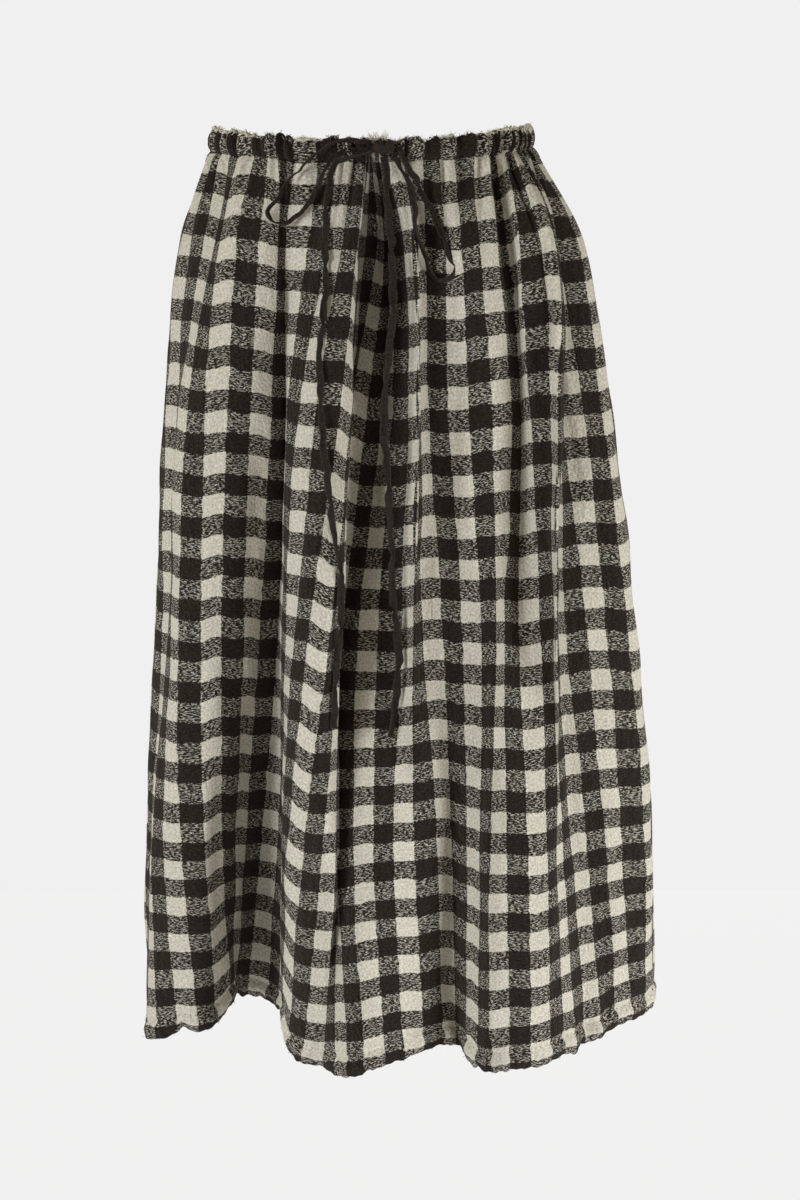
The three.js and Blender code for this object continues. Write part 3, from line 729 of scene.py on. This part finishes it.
def wool_check():
    """Brushed wool twill in a gingham check: light and dark yarns, matt, with a soft raised nap."""
    material = new_material("brushed_wool_check")
    tree = material.node_tree
    place = node(tree, "ShaderNodeUVMap", uv_map="UVMap").outputs[0]
    # The UV map counts stripes, and one stripe is about 18 mm, so this is in millimetres.
    yarns = vector_node(tree, "MULTIPLY", place, (WARP_STRIPE, WEFT_STRIPE, 1))

    def wander(scale, detail, roughness, reach):
        drift = noise(tree, yarns, scale, detail, roughness, "Color")
        centred = vector_node(tree, "ADD", drift, (-0.5, -0.5, 0))
        return vector_node(tree, "MULTIPLY", centred, (reach, reach, 0))

    # The brushed nap carries each colour a little over its neighbour, and the cloth has shrunk unevenly,
    # so that the squares are a little out of true.
    strayed, skewed = wander(0.8, 3.0, 0.7, 2.8), wander(0.055, 2.0, 0.6, 3.4)
    moved = vector_node(tree, "ADD", yarns, vector_node(tree, "ADD", strayed, skewed))
    apart = node(tree, "ShaderNodeSeparateXYZ", {0: moved}).outputs

    def light_stripe(coordinate, stripe):
        turn = math_node(tree, "FRACT", math_node(tree, "DIVIDE", coordinate, 2 * stripe))
        return math_node(tree, "LESS_THAN", turn, 0.5)

    warp_light, weft_light = light_stripe(apart[0], WARP_STRIPE), light_stripe(apart[1], WEFT_STRIPE)

    # Twill flecks, about 0.8 mm by 3 mm, leaning one way or the other.
    def flecks(lean, seed):
        return noise(tree, mapped(tree, yarns, (0.32, 1.3), math.radians(lean), seed), 1.0, 1.0)

    way = ranged(tree, noise(tree, yarns, 0.09, 1.0), 0.42, 0.58)
    both = node(tree, "ShaderNodeMix", {0: way, 2: flecks(-42, 0.0), 3: flecks(38, 7.3)}).outputs[0]
    # Where light yarns cross dark ones, the light shows as flecks, and the nap greys the rest a little.
    crossed = ranged(tree, both, 0.54, 0.585, 0.012, 0.70)
    all_light = math_node(tree, "MINIMUM", warp_light, weft_light)
    some_light = math_node(tree, "MULTIPLY", math_node(tree, "MAXIMUM", warp_light, weft_light), crossed)
    specks = math_node(tree, "MULTIPLY", crossed, 0.03)
    hazed = math_node(tree, "MAXIMUM", math_node(tree, "MAXIMUM", all_light, some_light), specks)
    tone = ranged(tree, noise(tree, yarns, 0.5, 4.0, 0.65), 0.3, 0.7, 0.68, 1.18)
    colour = mixed(tree, hazed, linear("#1e1814"), linear("#e9e4d5"))
    toned = mixed(tree, 1.0, colour, tone, "MULTIPLY")

    pebble = math_node(tree, "MULTIPLY", noise(tree, yarns, 0.36, 3.0, 0.6), 1.9)
    fuzz = math_node(tree, "MULTIPLY", noise(tree, yarns, 1.6, 2.0, 0.7), 0.7)
    crinkle = math_node(tree, "MULTIPLY", noise(tree, mapped(tree, yarns, (0.16, 0.07)), 1.0, 3.0, 0.55), 2.6)
    twill = math_node(tree, "MULTIPLY", both, 0.5)
    coarse, fine = math_node(tree, "ADD", pebble, crinkle), math_node(tree, "ADD", fuzz, twill)
    raised = math_node(tree, "ADD", coarse, fine)
    return surfaced(material, {
        "Base Color": toned, "Roughness": 0.95, "IOR": 1.45, "Specular IOR Level": 0.12,
        "Sheen Weight": 0.10, "Sheen Roughness": 0.55, "Sheen Tint": linear("#d8cfc0"),
        "Normal": bumped(tree, raised, 0.0013)})


def cotton_tape():
    """Plain-woven cotton tape, dyed black-brown, matt, with painted highlights along its edges and folds."""
    material = new_material("woven_cotton_tape")
    tree = material.node_tree
    place = node(tree, "ShaderNodeUVMap", uv_map="UVMap").outputs[0]
    weave = node(tree, "ShaderNodeTexChecker", {"Vector": mapped(tree, place, (1.4, 1.4)), "Scale": 1.0})
    # The tape is wrinkled across, and lighter colour is painted along its edges and folds as highlights.
    wrinkles = noise(tree, mapped(tree, place, (0.12, 0.38), 0.35), 1.0, 3.0, 0.6)
    across = node(tree, "ShaderNodeSeparateXYZ", {0: place}).outputs[0]
    edge = ranged(tree, math_node(tree, "ABSOLUTE", across), 2.4, 3.8)
    folded = ranged(tree, wrinkles, 0.45, 0.75, 0.0, 0.55)
    painted_highlight_mask = math_node(tree, "MAXIMUM", edge, folded)
    painted_highlight_share = math_node(tree, "MULTIPLY", painted_highlight_mask, noise(tree, place, 0.3, 4.0, 0.65))
    height = math_node(tree, "ADD", math_node(tree, "MULTIPLY", wrinkles, 5.0),
                       math_node(tree, "MULTIPLY", weave.outputs[1], 0.15))
    return surfaced(material, {
        # The base colour mixes in the painted highlights of the edges and folds.
        "Base Color": mixed(tree, painted_highlight_share, linear("#1e1610"), linear("#4b3a2b")), "Roughness": 0.6, "IOR": 1.45,
        "Specular IOR Level": 0.3, "Sheen Weight": 0.04, "Sheen Roughness": 0.5,
        "Normal": bumped(tree, height, 0.001)})


def frayed_yarn():
    """Loosened woollen yarns, curled into a fluffy roll: cream, matt, with shaded hollows."""
    material = new_material("frayed_wool_yarn")
    tree = material.node_tree
    place = node(tree, "ShaderNodeTexCoord").outputs["Object"]
    curls = node(tree, "ShaderNodeTexNoise", {
        "Vector": place, "Scale": 900.0, "Detail": 3.0, "Roughness": 0.6}).outputs[0]
    colour = mixed(tree, ranged(tree, curls, 0.38, 0.62), linear("#8f8676"), linear("#ece5d4"))
    return surfaced(material, {
        "Base Color": colour, "Roughness": 0.95, "IOR": 1.45, "Specular IOR Level": 0.1, "Sheen Weight": 0.1,
        "Normal": bumped(tree, curls, 0.001)})


def fibre(name, colour, roughness):
    """Loose fibres and sewing thread: matt, with a little sheen."""
    return surfaced(new_material(name), {
        "Base Color": linear(colour), "Roughness": roughness, "IOR": 1.45, "Specular IOR Level": 0.15,
        "Sheen Weight": 0.1})


WOOL = wool_check()
TAPE = cotton_tape()
FRAYED_YARN = frayed_yarn()
LIGHT_FIBRE = fibre("loose_wool_fibre_light", "#efe8d8", 0.95)
DARK_FIBRE = fibre("loose_wool_fibre_dark", "#2b2420", 0.95)
SEWING_THREAD = fibre("cotton_sewing_thread", "#6b6255", 0.8)


# ---------------------------------------------------------------- fibres and stitches
def node_group(name, inputs):
    """A geometry node group with named inputs. Returns it, and its input node."""
    group = bpy.data.node_groups.new(name, "GeometryNodeTree")
    group.interface.new_socket("Geometry", in_out="INPUT", socket_type="NodeSocketGeometry")
    for label, kind in inputs:
        group.interface.new_socket(label, in_out="INPUT", socket_type="NodeSocket" + kind)
    group.interface.new_socket("Geometry", in_out="OUTPUT", socket_type="NodeSocketGeometry")
    return group, group.nodes.new("NodeGroupInput").outputs


def finish_group(group, instances, material):
    real = node(group, "GeometryNodeRealizeInstances", {"Geometry": instances}).outputs[0]
    smooth = node(group, "GeometryNodeSetShadeSmooth", {"Geometry": real}).outputs[0]
    named = node(group, "GeometryNodeSetMaterial", {"Geometry": smooth, "Material": material}).outputs[0]
    node(group, "NodeGroupOutput", {0: named})
    return group


def fibre_group():
    """Curled fibres that stand out of a surface, each with its own length and lean."""
    group, given = node_group("loose_fibres", [("Per Square Metre", "Float"), ("Length", "Float"),
                                               ("Thickness", "Float"), ("Lean", "Float"), ("Seed", "Int"),
                                               ("Fibre", "Material")])
    points = node(group, "GeometryNodeDistributePointsOnFaces", {
        "Mesh": given["Geometry"], "Density": given["Per Square Metre"], "Seed": given["Seed"]})
    bend = node(group, "GeometryNodeCurveQuadraticBezier", {
        "Resolution": 4, "Start": (0, 0, -0.1), "Middle": (0.0002, 0.0, 0.6), "End": (0.0021, 0.0007, 1)})
    half = math_node(group, "MULTIPLY", given["Thickness"], 0.5)
    ring = node(group, "GeometryNodeCurvePrimitiveCircle", {"Resolution": 3, "Radius": half})
    tube = node(group, "GeometryNodeCurveToMesh", {
        "Curve": bend.outputs[0], "Profile Curve": ring.outputs[0], "Fill Caps": True})
    spin = node(group, "FunctionNodeRandomValue", {0: (-1, -1, -1), 1: (1, 1, 1), "Seed": 3},
                data_type="FLOAT_VECTOR")
    limit = node(group, "ShaderNodeCombineXYZ", {0: given["Lean"], 1: given["Lean"], 2: math.pi})
    angles = vector_node(group, "MULTIPLY", spin.outputs[0], limit.outputs[0])
    lean = node(group, "FunctionNodeEulerToRotation", {0: angles})
    turned = node(group, "FunctionNodeRotateRotation", {
        "Rotation": points.outputs["Rotation"], "Rotate By": lean.outputs[0]}, rotation_space="LOCAL")
    share = node(group, "FunctionNodeRandomValue", {2: 0.3, 3: 1.0, "Seed": 5}, data_type="FLOAT")
    length = math_node(group, "MULTIPLY", share.outputs[1], given["Length"])
    size = node(group, "ShaderNodeCombineXYZ", {0: 1.0, 1: 1.0, 2: length})
    grown = node(group, "GeometryNodeInstanceOnPoints", {
        "Points": points.outputs["Points"], "Instance": tube.outputs[0], "Rotation": turned.outputs[0],
        "Scale": size.outputs[0]})
    return finish_group(group, grown.outputs[0], given["Fibre"])


def stitch_group():
    """Running stitches along a line."""
    group, given = node_group("running_stitches", [("Pitch", "Float"), ("Length", "Float"),
                                                   ("Thickness", "Float"), ("Thread", "Material")])
    line = node(group, "GeometryNodeMeshToCurve", {"Mesh": given["Geometry"]})
    spaced = node(group, "GeometryNodeResampleCurve", {"Curve": line.outputs[0], "Length": given["Pitch"]},
                  mode="LENGTH")
    tangent = node(group, "GeometryNodeInputTangent")
    along = node(group, "FunctionNodeAlignRotationToVector", {"Vector": tangent.outputs[0]}, axis="X")
    bead = node(group, "GeometryNodeMeshUVSphere", {"Segments": 6, "Rings": 4, "Radius": 0.5})
    size = node(group, "ShaderNodeCombineXYZ", {
        0: given["Length"], 1: given["Thickness"], 2: given["Thickness"]})
    laid = node(group, "GeometryNodeInstanceOnPoints", {
        "Points": spaced.outputs[0], "Instance": bead.outputs[0], "Rotation": along.outputs[0],
        "Scale": size.outputs[0]})
    return finish_group(group, laid.outputs[0], given["Thread"])


FIBRES = fibre_group()
STITCHES = stitch_group()


def grow(name, mesh, group, values):
    """Runs a node group on a plain mesh and keeps the result as a piece of its own."""
    base = in_scene(name + "_base", mesh)
    modifier = base.modifiers.new(name, "NODES")
    modifier.node_group = group
    for socket in group.interface.items_tree:
        if socket.in_out == "INPUT" and socket.name in values:
            modifier[socket.identifier] = values[socket.name]
    result = bpy.data.meshes.new_from_object(base.evaluated_get(bpy.context.evaluated_depsgraph_get()))
    bpy.data.objects.remove(base)
    keep_as(in_scene(name, result))


def lid(base, around, flip=False):
    """Quads across an end of a tube whose rings have an even number of points."""
    quads = np.array([[base + k, base + k + 1, base + around - 2 - k, base + around - 1 - k]
                      for k in range(around // 2 - 1)])
    return quads[:, ::-1] if flip else quads


def strip_mesh(name, grid, keep):
    """The kept quads of a grid in millimetres, as a mesh for fibres to stand on."""
    rows, columns = grid.shape[:2]
    faces = grid_faces(rows, columns).reshape(rows - 1, columns - 1, 4)[:, keep].reshape(-1, 4)
    mesh = bpy.data.meshes.new(name)
    mesh.from_pydata((grid.reshape(-1, 3) * MM).tolist(), [], faces[:, ::-1].tolist())
    return mesh


def stitch_line(name, line, thread, pitch, length, thickness):
    mesh = bpy.data.meshes.new(name)
    mesh.from_pydata((line * MM).tolist(), [(k, k + 1) for k in range(len(line) - 1)], [])
    grow(name, mesh, STITCHES, {
        "Pitch": pitch * MM, "Length": length * MM, "Thickness": thickness * MM, "Thread": thread})


# Where the raw upper edge is frayed white, as threads: the first and the last of each stretch.
FRAYED = [(-1.2, 5.6), (14.5, 19.5), (26.5, 35.8), (46.0, 52.0), (60.0, 66.0)]


def frayed_roll(side, edge, edge_uv):
    """The lumpy roll of loosened light yarns along each frayed stretch of the raw edge."""
    line, thread = edge[1], edge_uv[0, :, 0]
    around = np.linspace(0, 2 * math.pi, 10, endpoint=False)[None, :]
    parts = []
    for first, last in FRAYED:
        keep = (thread > first) & (thread < last)
        if not keep.any():
            continue
        t, centre = thread[keep], line[keep]
        outward = unit((centre - (WAIST["centre"], 0, 0)) * (1, 1, 0))
        ends = np.minimum(1, np.minimum(t - first, last - t) / 0.5)
        lumps = (0.62 + 0.3 * np.sin(7.3 * t + 2 * np.sin(2.1 * t)) + 0.22 * np.sin(19 * t + 1)
                 + 0.16 * np.sin(43 * t))
        curled = 1 + 0.22 * np.sin(3 * around + 5 * t[:, None]) + 0.15 * np.sin(2 * around - 17 * t[:, None])
        size = (2.1 * np.clip(lumps, 0.2, 1) * ends + 0.05)[:, None] * curled
        points = (centre[:, None] + (size * np.cos(around))[..., None] * outward[:, None]
                  + (size * np.sin(around) - 0.3)[..., None] * (0, 0, 1))
        rows, columns = size.shape
        uv = np.stack(np.broadcast_arrays(around, t[:, None]), -1).reshape(-1, 2)
        faces = [grid_faces(rows, columns, wrap=True), lid(0, columns),
                 lid((rows - 1) * columns, columns, flip=True)]
        parts.append((points.reshape(-1, 3), np.concatenate(faces), uv))
    keep_as(joined(f"{side}_frayed_roll", parts, FRAYED_YARN))


def fringes(side, edge, edge_uv, hem_out):
    """Loose fibres along the raw upper edge and, fewer and shorter, along the hem's fold."""
    thread = edge_uv[0, :-1, 0]
    light = np.floor(thread) % 2 == 0
    frayed = np.any([(thread > first) & (thread < last) for first, last in FRAYED], axis=0)
    tuft = (thread > TUFT[0]) & (thread < TUFT[1])
    low_thread = np.linspace(thread[0], thread[-1], hem_out.shape[1] - 1)
    low_light = np.floor(low_thread) % 2 == 0
    caught = (low_thread > HEM_TUFT[0]) & (low_thread < HEM_TUFT[1])
    top = {"grid": edge, "slot": "wool_casing", "Thickness": 0.55 * MM, "Lean": 1.25, "Seed": 4}
    low = {"grid": hem_out[1:6], "slot": "wool_check", "Thickness": 0.35 * MM, "Lean": 1.0, "Seed": 9}
    for name, where, keep, fibres, per, length in (
            ("light_fringe", top, light & ~frayed, LIGHT_FIBRE, 1.6e5, 2.4),
            ("dark_fringe", top, ~light, DARK_FIBRE, 2.0e5, 2.4),
            ("frayed_fringe", top, frayed & ~tuft, LIGHT_FIBRE, 3.6e5, 3.2),
            ("tuft", top, tuft, LIGHT_FIBRE, 6.0e5, 8.5),
            ("light_hem_fluff", low, low_light, LIGHT_FIBRE, 4.0e5, 3.8),
            ("dark_hem_fluff", low, ~low_light, DARK_FIBRE, 3.4e5, 3.8),
            ("hem_tuft", low, caught, LIGHT_FIBRE, 1.2e6, 6.0)):
        if keep.any():
            grow(f"{side}_{name}", strip_mesh(name, where["grid"], keep), FIBRES, {
                **where, "Per Square Metre": per, "Length": length * MM, "Fibre": fibres})


# ---------------------------------------------------------------- drawstring, bow and free ends
TAPE_SIZE = {"width": 7.0, "thickness": 0.9}
WIDTHS = {"tie_end_left": 5.8, "tie_end_right": 6.6, "bow_loop_left": 4.4, "bow_loop_right": 5.4}
KNOT = {"centre": (14.0, -100.2, -5.4), "half": (8.6, 4.1, 5.6)}
# The turns of tape round the knot: how far each is moved along, its lean in degrees and its half sizes.
WRAPS = [(-2.4, 24, 4.6, 6.3), (3.0, -30, 4.3, 5.9)]
WRAP_WIDTH = 6.0
ROUTES = {
    "tie_end_left": [
        [4.6, -105.3, -9], [-12, -105, -13], [-25, -103.5, -18], [-31, -101.5, -36], [-33, -98.5, -60],
        [-34, -101, -90], [-33, -104.5, -120], [-35, -106, -140], [-38, -107, -165], [-38, -110.5, -200],
        [-36, -115, -235], [-33, -117.5, -265], [-29, -119, -300], [-24, -120, -335], [-21, -118, -365],
        [-22, -119, -395], [-25, -120, -425], [-27, -120, -455], [-27, -120, -480],
    ],
    "tie_end_right": [
        [14, -100.6, -12.9], [16, -100.8, -30], [17, -101, -50], [19, -101, -75], [21, -100, -105],
        [21, -100, -140], [18, -100, -175], [15, -99, -205], [14, -99, -235], [17, -98, -270],
        [19, -98, -305], [20, -97, -340], [21, -97, -370], [24, -98, -400], [26, -101, -425],
        [24, -104, -452], [18, -107.5, -490],
    ],
    "bow_loop_left": [
        [3, -99.5, -2], [-12, -100, 1], [-31, -99.5, -5], [-56, -91, -24], [-74, -85.5, -47], [-82, -85, -58],
        [-77, -85, -66], [-68, -86.5, -67], [-58, -88, -61], [-44, -92.5, -45], [-37, -94.5, -29],
        [-28, -95.8, -14], [-14, -98, -8.5], [3.8, -98.8, -9],
    ],
    "bow_loop_right": [
        [26.2, -100.5, -7], [33, -99, -20], [42, -94, -36], [52, -90, -56], [62, -91, -78], [69, -92, -96],
        [74, -90.5, -101], [69, -89, -111], [57, -86, -113], [50.5, -87, -105], [46.5, -91.5, -91],
        [41, -98.5, -72], [39, -98, -52], [35, -96.5, -36], [28, -96.5, -22], [21.5, -98.5, -13.5],
    ],
}
# How each stretch of tape is turned along its length, in degrees from flat on the cloth, as shares.
TWISTS = {
    "tie_end_left": [(0, 60), (0.06, 35), (0.12, 15), (0.3, -12), (0.45, 30), (0.6, -8), (0.72, 48),
                     (0.85, 5), (1, -20)],
    "tie_end_right": [(0, 20), (0.1, 5), (0.3, 25), (0.5, -15), (0.65, 40), (0.8, -5), (1, 30)],
    "bow_loop_left": [(0, 10), (0.2, 50), (0.4, 78), (0.55, 60), (0.75, 10), (1, 20)],
    "bow_loop_right": [(0, 20), (0.25, 5), (0.42, 40), (0.55, 60), (0.7, 30), (1, 40)],
}

# The flat tape's section: the share of its half width, and its side. Its folded middle sinks in a little.
TAPE_SECTION = [(-1, 0), (-0.94, 1), (-0.6, 1.1), (-0.25, 0.55), (0.25, 0.55), (0.6, 1.1), (0.94, 1),
                (1, 0), (0.94, -1), (0.6, -1.1), (0.25, -0.55), (-0.25, -0.55), (-0.6, -1.1), (-0.94, -1)]


def ribbon(centre, outward, twist, width=TAPE_SIZE["width"], closed=False, start=0.0):
    """A creased flat tape along a centre line: returns its points, faces and uv, in millimetres."""
    if closed:
        along = np.roll(centre, -1, axis=0) - np.roll(centre, 1, axis=0)
    else:
        along = np.gradient(centre, axis=0)
    along = unit(along)
    run = run_along(centre)
    outward = unit(outward - along * (outward * along).sum(1, keepdims=True))
    side = np.cross(along, outward)
    twist = np.radians(twist)[:, None]
    across = side * np.cos(twist) + outward * np.sin(twist)
    face = np.cross(across, along)
    place = run + start
    # A closed turn is pulled smooth. Elsewhere the tape is here and there folded or bunched narrower.
    slack = 0.0 if closed else 1.0
    bunched = np.exp(-(np.sin(place / 19 + 0.8 * np.sin(place / 47)) / 0.22) ** 2)
    wobble = slack * (0.06 * np.sin(place / 9.0) + 0.05 * np.sin(place / 3.7) - 0.5 * bunched)
    half = width / 2 * (1 + wobble)
    thick = TAPE_SIZE["thickness"] / 2
    curl = 0.9 * np.sin(place / 19.0) + 0.7 * np.sin(place / 8.3 + 1)
    kink = 1.1 * np.exp(-(np.sin(place / 17.0) / 0.2) ** 2) * np.sin(place / 29)
    sway = slack * (0.5 * np.sin(place / 5.3 + 2 * np.sin(place / 31)) + 0.3 * np.sin(place / 2.3))
    rows = []
    for wide, up in TAPE_SECTION:
        crumple = 0.3 * np.sin(place / 4.1 + 3 * wide) + 0.2 * np.sin(place / 1.9 + 7 * wide)
        cup = slack * (curl * wide**2 + kink + crumple)
        rows.append(centre + across * (half * wide + sway)[:, None] + face * (thick * up + cup)[:, None])
    points = np.array(rows).transpose(1, 0, 2)
    steps, count = points.shape[:2]
    uv = np.stack([np.broadcast_to(np.array([w for w, _ in TAPE_SECTION]) * 4, (steps, count)),
                   np.broadcast_to(place[:, None], (steps, count))], -1).reshape(-1, 2)
    if closed:
        points = np.concatenate([points, points[:1]])
        uv = np.concatenate([uv, uv[:count] + (0, run[-1])])
        steps += 1
    faces = [grid_faces(steps, count, wrap=True, flip=True)]
    if not closed:
        faces += [lid(0, count, flip=True), lid((steps - 1) * count, count)]
    return points.reshape(-1, 3), np.concatenate(faces), uv


def joined(name, parts, material):
    """One piece made of several meshes, given in millimetres."""
    starts = np.cumsum([0] + [len(points) for points, _, _ in parts])
    points = np.concatenate([part[0] for part in parts]) * MM
    faces = np.concatenate([part[1] + start for part, start in zip(parts, starts)])
    return piece_from(name, points, faces, np.concatenate([part[2] for part in parts]), material)


def knot_body():
    """The crumpled heart of the knot: a closed, folded oval."""
    rings_count, around = 26, 40
    v = np.linspace(0.03, math.pi - 0.03, rings_count)[:, None]
    u = np.linspace(0, 2 * math.pi, around, endpoint=False)[None, :]
    fold = 1 + 0.07 * np.sin(5 * u + 3 * v) + 0.06 * np.sin(9 * v + 2 * u) * np.sin(v)
    ball = np.stack([np.cos(v) * np.ones_like(u), np.sin(v) * np.sin(u), np.sin(v) * np.cos(u)], -1)
    points = np.array(KNOT["centre"]) + ball * fold[..., None] * np.array(KNOT["half"])
    uv = np.stack(np.broadcast_arrays(u * 4, v * 6), -1)
    faces = [grid_faces(rings_count, around, wrap=True, flip=True), lid(0, around, flip=True),
             lid((rings_count - 1) * around, around)]
    return points.reshape(-1, 3), np.concatenate(faces), uv.reshape(-1, 2)


def knot_wrap(shift, lean, half_y, half_z):
    """A turn of tape round the knot."""
    angle = np.linspace(0, 2 * math.pi, 48, endpoint=False)
    outward = np.stack([-np.sin(math.radians(lean)) * np.sin(angle), -np.cos(angle),
                        math.cos(math.radians(lean)) * np.sin(angle)], -1)
    reach = half_y * half_z / np.sqrt((half_z * np.cos(angle)) ** 2 + (half_y * np.sin(angle)) ** 2)
    centre = np.array(KNOT["centre"]) + (shift, 0, 0) + outward * reach[:, None]
    return ribbon(centre, outward, np.zeros(len(angle)), WRAP_WIDTH, closed=True)


def knot():
    parts = [knot_body(), *(knot_wrap(*wrap) for wrap in WRAPS)]
    keep_as(joined("bow_knot_tape", parts, TAPE), "bow_knot")


def drawstring():
    """The tape in the channel round the waist, out through the wall beside the knot and into the knot."""
    turns = np.linspace(*EYELET_TURNS, 70)
    inside = waist_point(turns, -0.9 - 3.0 * np.sin(np.radians(turns)) ** 2, 8.2)
    route = np.concatenate([[(21.5, -99.6, -7.2), (26.0, -98.6, -7.6), (30.0, -95.0, -6.4)], inside,
                            [(-2.5, -95.6, -6.2), (3.0, -98.6, -6.6), (8.0, -99.8, -6.4)]])
    centre = open_curve(route, np.linspace(0, 1, 420))
    outward = (centre - (WAIST["centre"], 0, 0)) * (1, 1, 0)
    points, faces, uv = ribbon(centre, outward, np.zeros(len(centre)))
    tape = piece_from("drawstring_tape", points * MM, faces, uv, TAPE)
    keep_as(tape, "drawstring_in_casing")


def tapes():
    for name, steps, far_end in (("tie_end_left", 300, "bare"), ("tie_end_right", 290, "bare"),
                                 ("bow_loop_left", 160, "object"), ("bow_loop_right", 160, "object")):
        centre = open_curve(np.array(ROUTES[name], float), np.linspace(0, 1, steps))
        run = run_along(centre)
        twist = np.interp(run / run[-1], *zip(*TWISTS[name]))
        twist = twist + 20 * np.sin(run / 23) + 14 * np.sin(run / 9.1 + 1)
        outward = np.tile((0.0, -1.0, 0.0), (steps, 1))
        points, faces, uv = ribbon(centre, outward, twist, WIDTHS[name], start=40.0 * len(name))
        piece = piece_from(name + "_tape", points * MM, faces, uv, TAPE)
        keep_as(piece, name)


tapes()
knot()
drawstring()


# ---------------------------------------------------------------- making the skirt
def make_cloth():
    for side in ("front", "back"):
        outer, inner, normal, uv, above = panel(side)
        cloth = wall_piece(f"{side}_cloth", outer, inner, uv, WOOL)
        hem_out, hem_in, hem_uv = hem_turning(outer, normal, uv, above)
        hem = wall_piece(f"{side}_hem_fold", hem_out, hem_in, hem_uv, WOOL)
        casing, edge, edge_uv = casing_piece(f"{side}_casing", side, (uv[0, :, 0], uv[0, :, 1]), WOOL)
        fringes(side, edge, edge_uv, hem_out)
        frayed_roll(side, edge, edge_uv)
        level = int(np.argmin(abs(above[:, above.shape[1] // 2] - HEM_STITCHES)))
        for name, row, proud, thread, pitch, length, thick in (
                ("hem_stitches", level, 0.05, SEWING_THREAD, 5.2, 2.6, 0.35),
                ("casing_stitches", 1, 0.1, DARK_FIBRE, 3.4, 2.0, 0.4)):
            line = outer[row, 2:-2] + normal[row, 2:-2] * proud
            stitch_line(f"{side}_{name}", line, thread, pitch, length, thick)
        keep_as(cloth, f"{side}_panel")
        keep_as(hem, f"hem_{side}")
        keep_as(casing, f"casing_{side}")


make_cloth()


# ---------------------------------------------------------------- stage and light
def make_stage():
    reach, level = 1.9, -1.12
    points = np.array([(x * reach, y * reach, level) for x, y in ((-1, -1), (1, -1), (1, 1), (-1, 1))])
    material = surfaced(new_material("painted_studio_floor"), {
        "Base Color": (0.04, 0.04, 0.04, 1), "Roughness": 0.9, "Specular IOR Level": 0.0,
        "Emission Color": (1, 1, 1, 1), "Emission Strength": 0.85})
    floor = piece_from("studio_floor", points, np.array([[0, 1, 2, 3]]), np.zeros((4, 2)), material)


def area_light(name, place, target, size, power, colour, spread):
    data = bpy.data.lights.new(name, "AREA")
    data.size, data.energy, data.color, data.spread = size, power, colour, math.radians(spread)
    light = in_scene(name, data)
    light.location = place
    light.rotation_euler = (Vector(target) - Vector(place)).to_track_quat("-Z", "Y").to_euler()


def make_light():
    area_light("key", (-2.3, -1.9, 0.3), (-0.05, 0, -0.8), 1.2, 20.5, (0.94, 0.97, 1.0), 100)
    area_light("fill", (2.6, -1.15, -0.6), (0.2, 0, -0.9), 1.0, 8.8, (0.97, 0.985, 1.0), 60)
    area_light("back", (0.5, 3.0, -0.2), (0.03, 0, -0.5), 1.6, 26, (0.97, 0.985, 1.0), 120)
    # The walls look as pale as the floor, and light the cloth with a dimmer, warmer light.
    world = bpy.data.worlds.new("studio")
    bpy.context.scene.world = world
    world.use_nodes = True
    tree = world.node_tree
    tree.nodes.clear()
    seen = node(tree, "ShaderNodeBackground", {0: (1, 1, 1, 1), 1: 0.871}).outputs[0]
    lighting = node(tree, "ShaderNodeBackground", {0: (1.0, 0.87, 0.64, 1), 1: 0.265}).outputs[0]
    path = node(tree, "ShaderNodeLightPath").outputs["Is Camera Ray"]
    both = node(tree, "ShaderNodeMixShader", {0: path, 1: lighting, 2: seen}).outputs[0]
    node(tree, "ShaderNodeOutputWorld", {0: both})


make_stage()
make_light()
bpy.context.scene.view_settings.view_transform = "Standard"
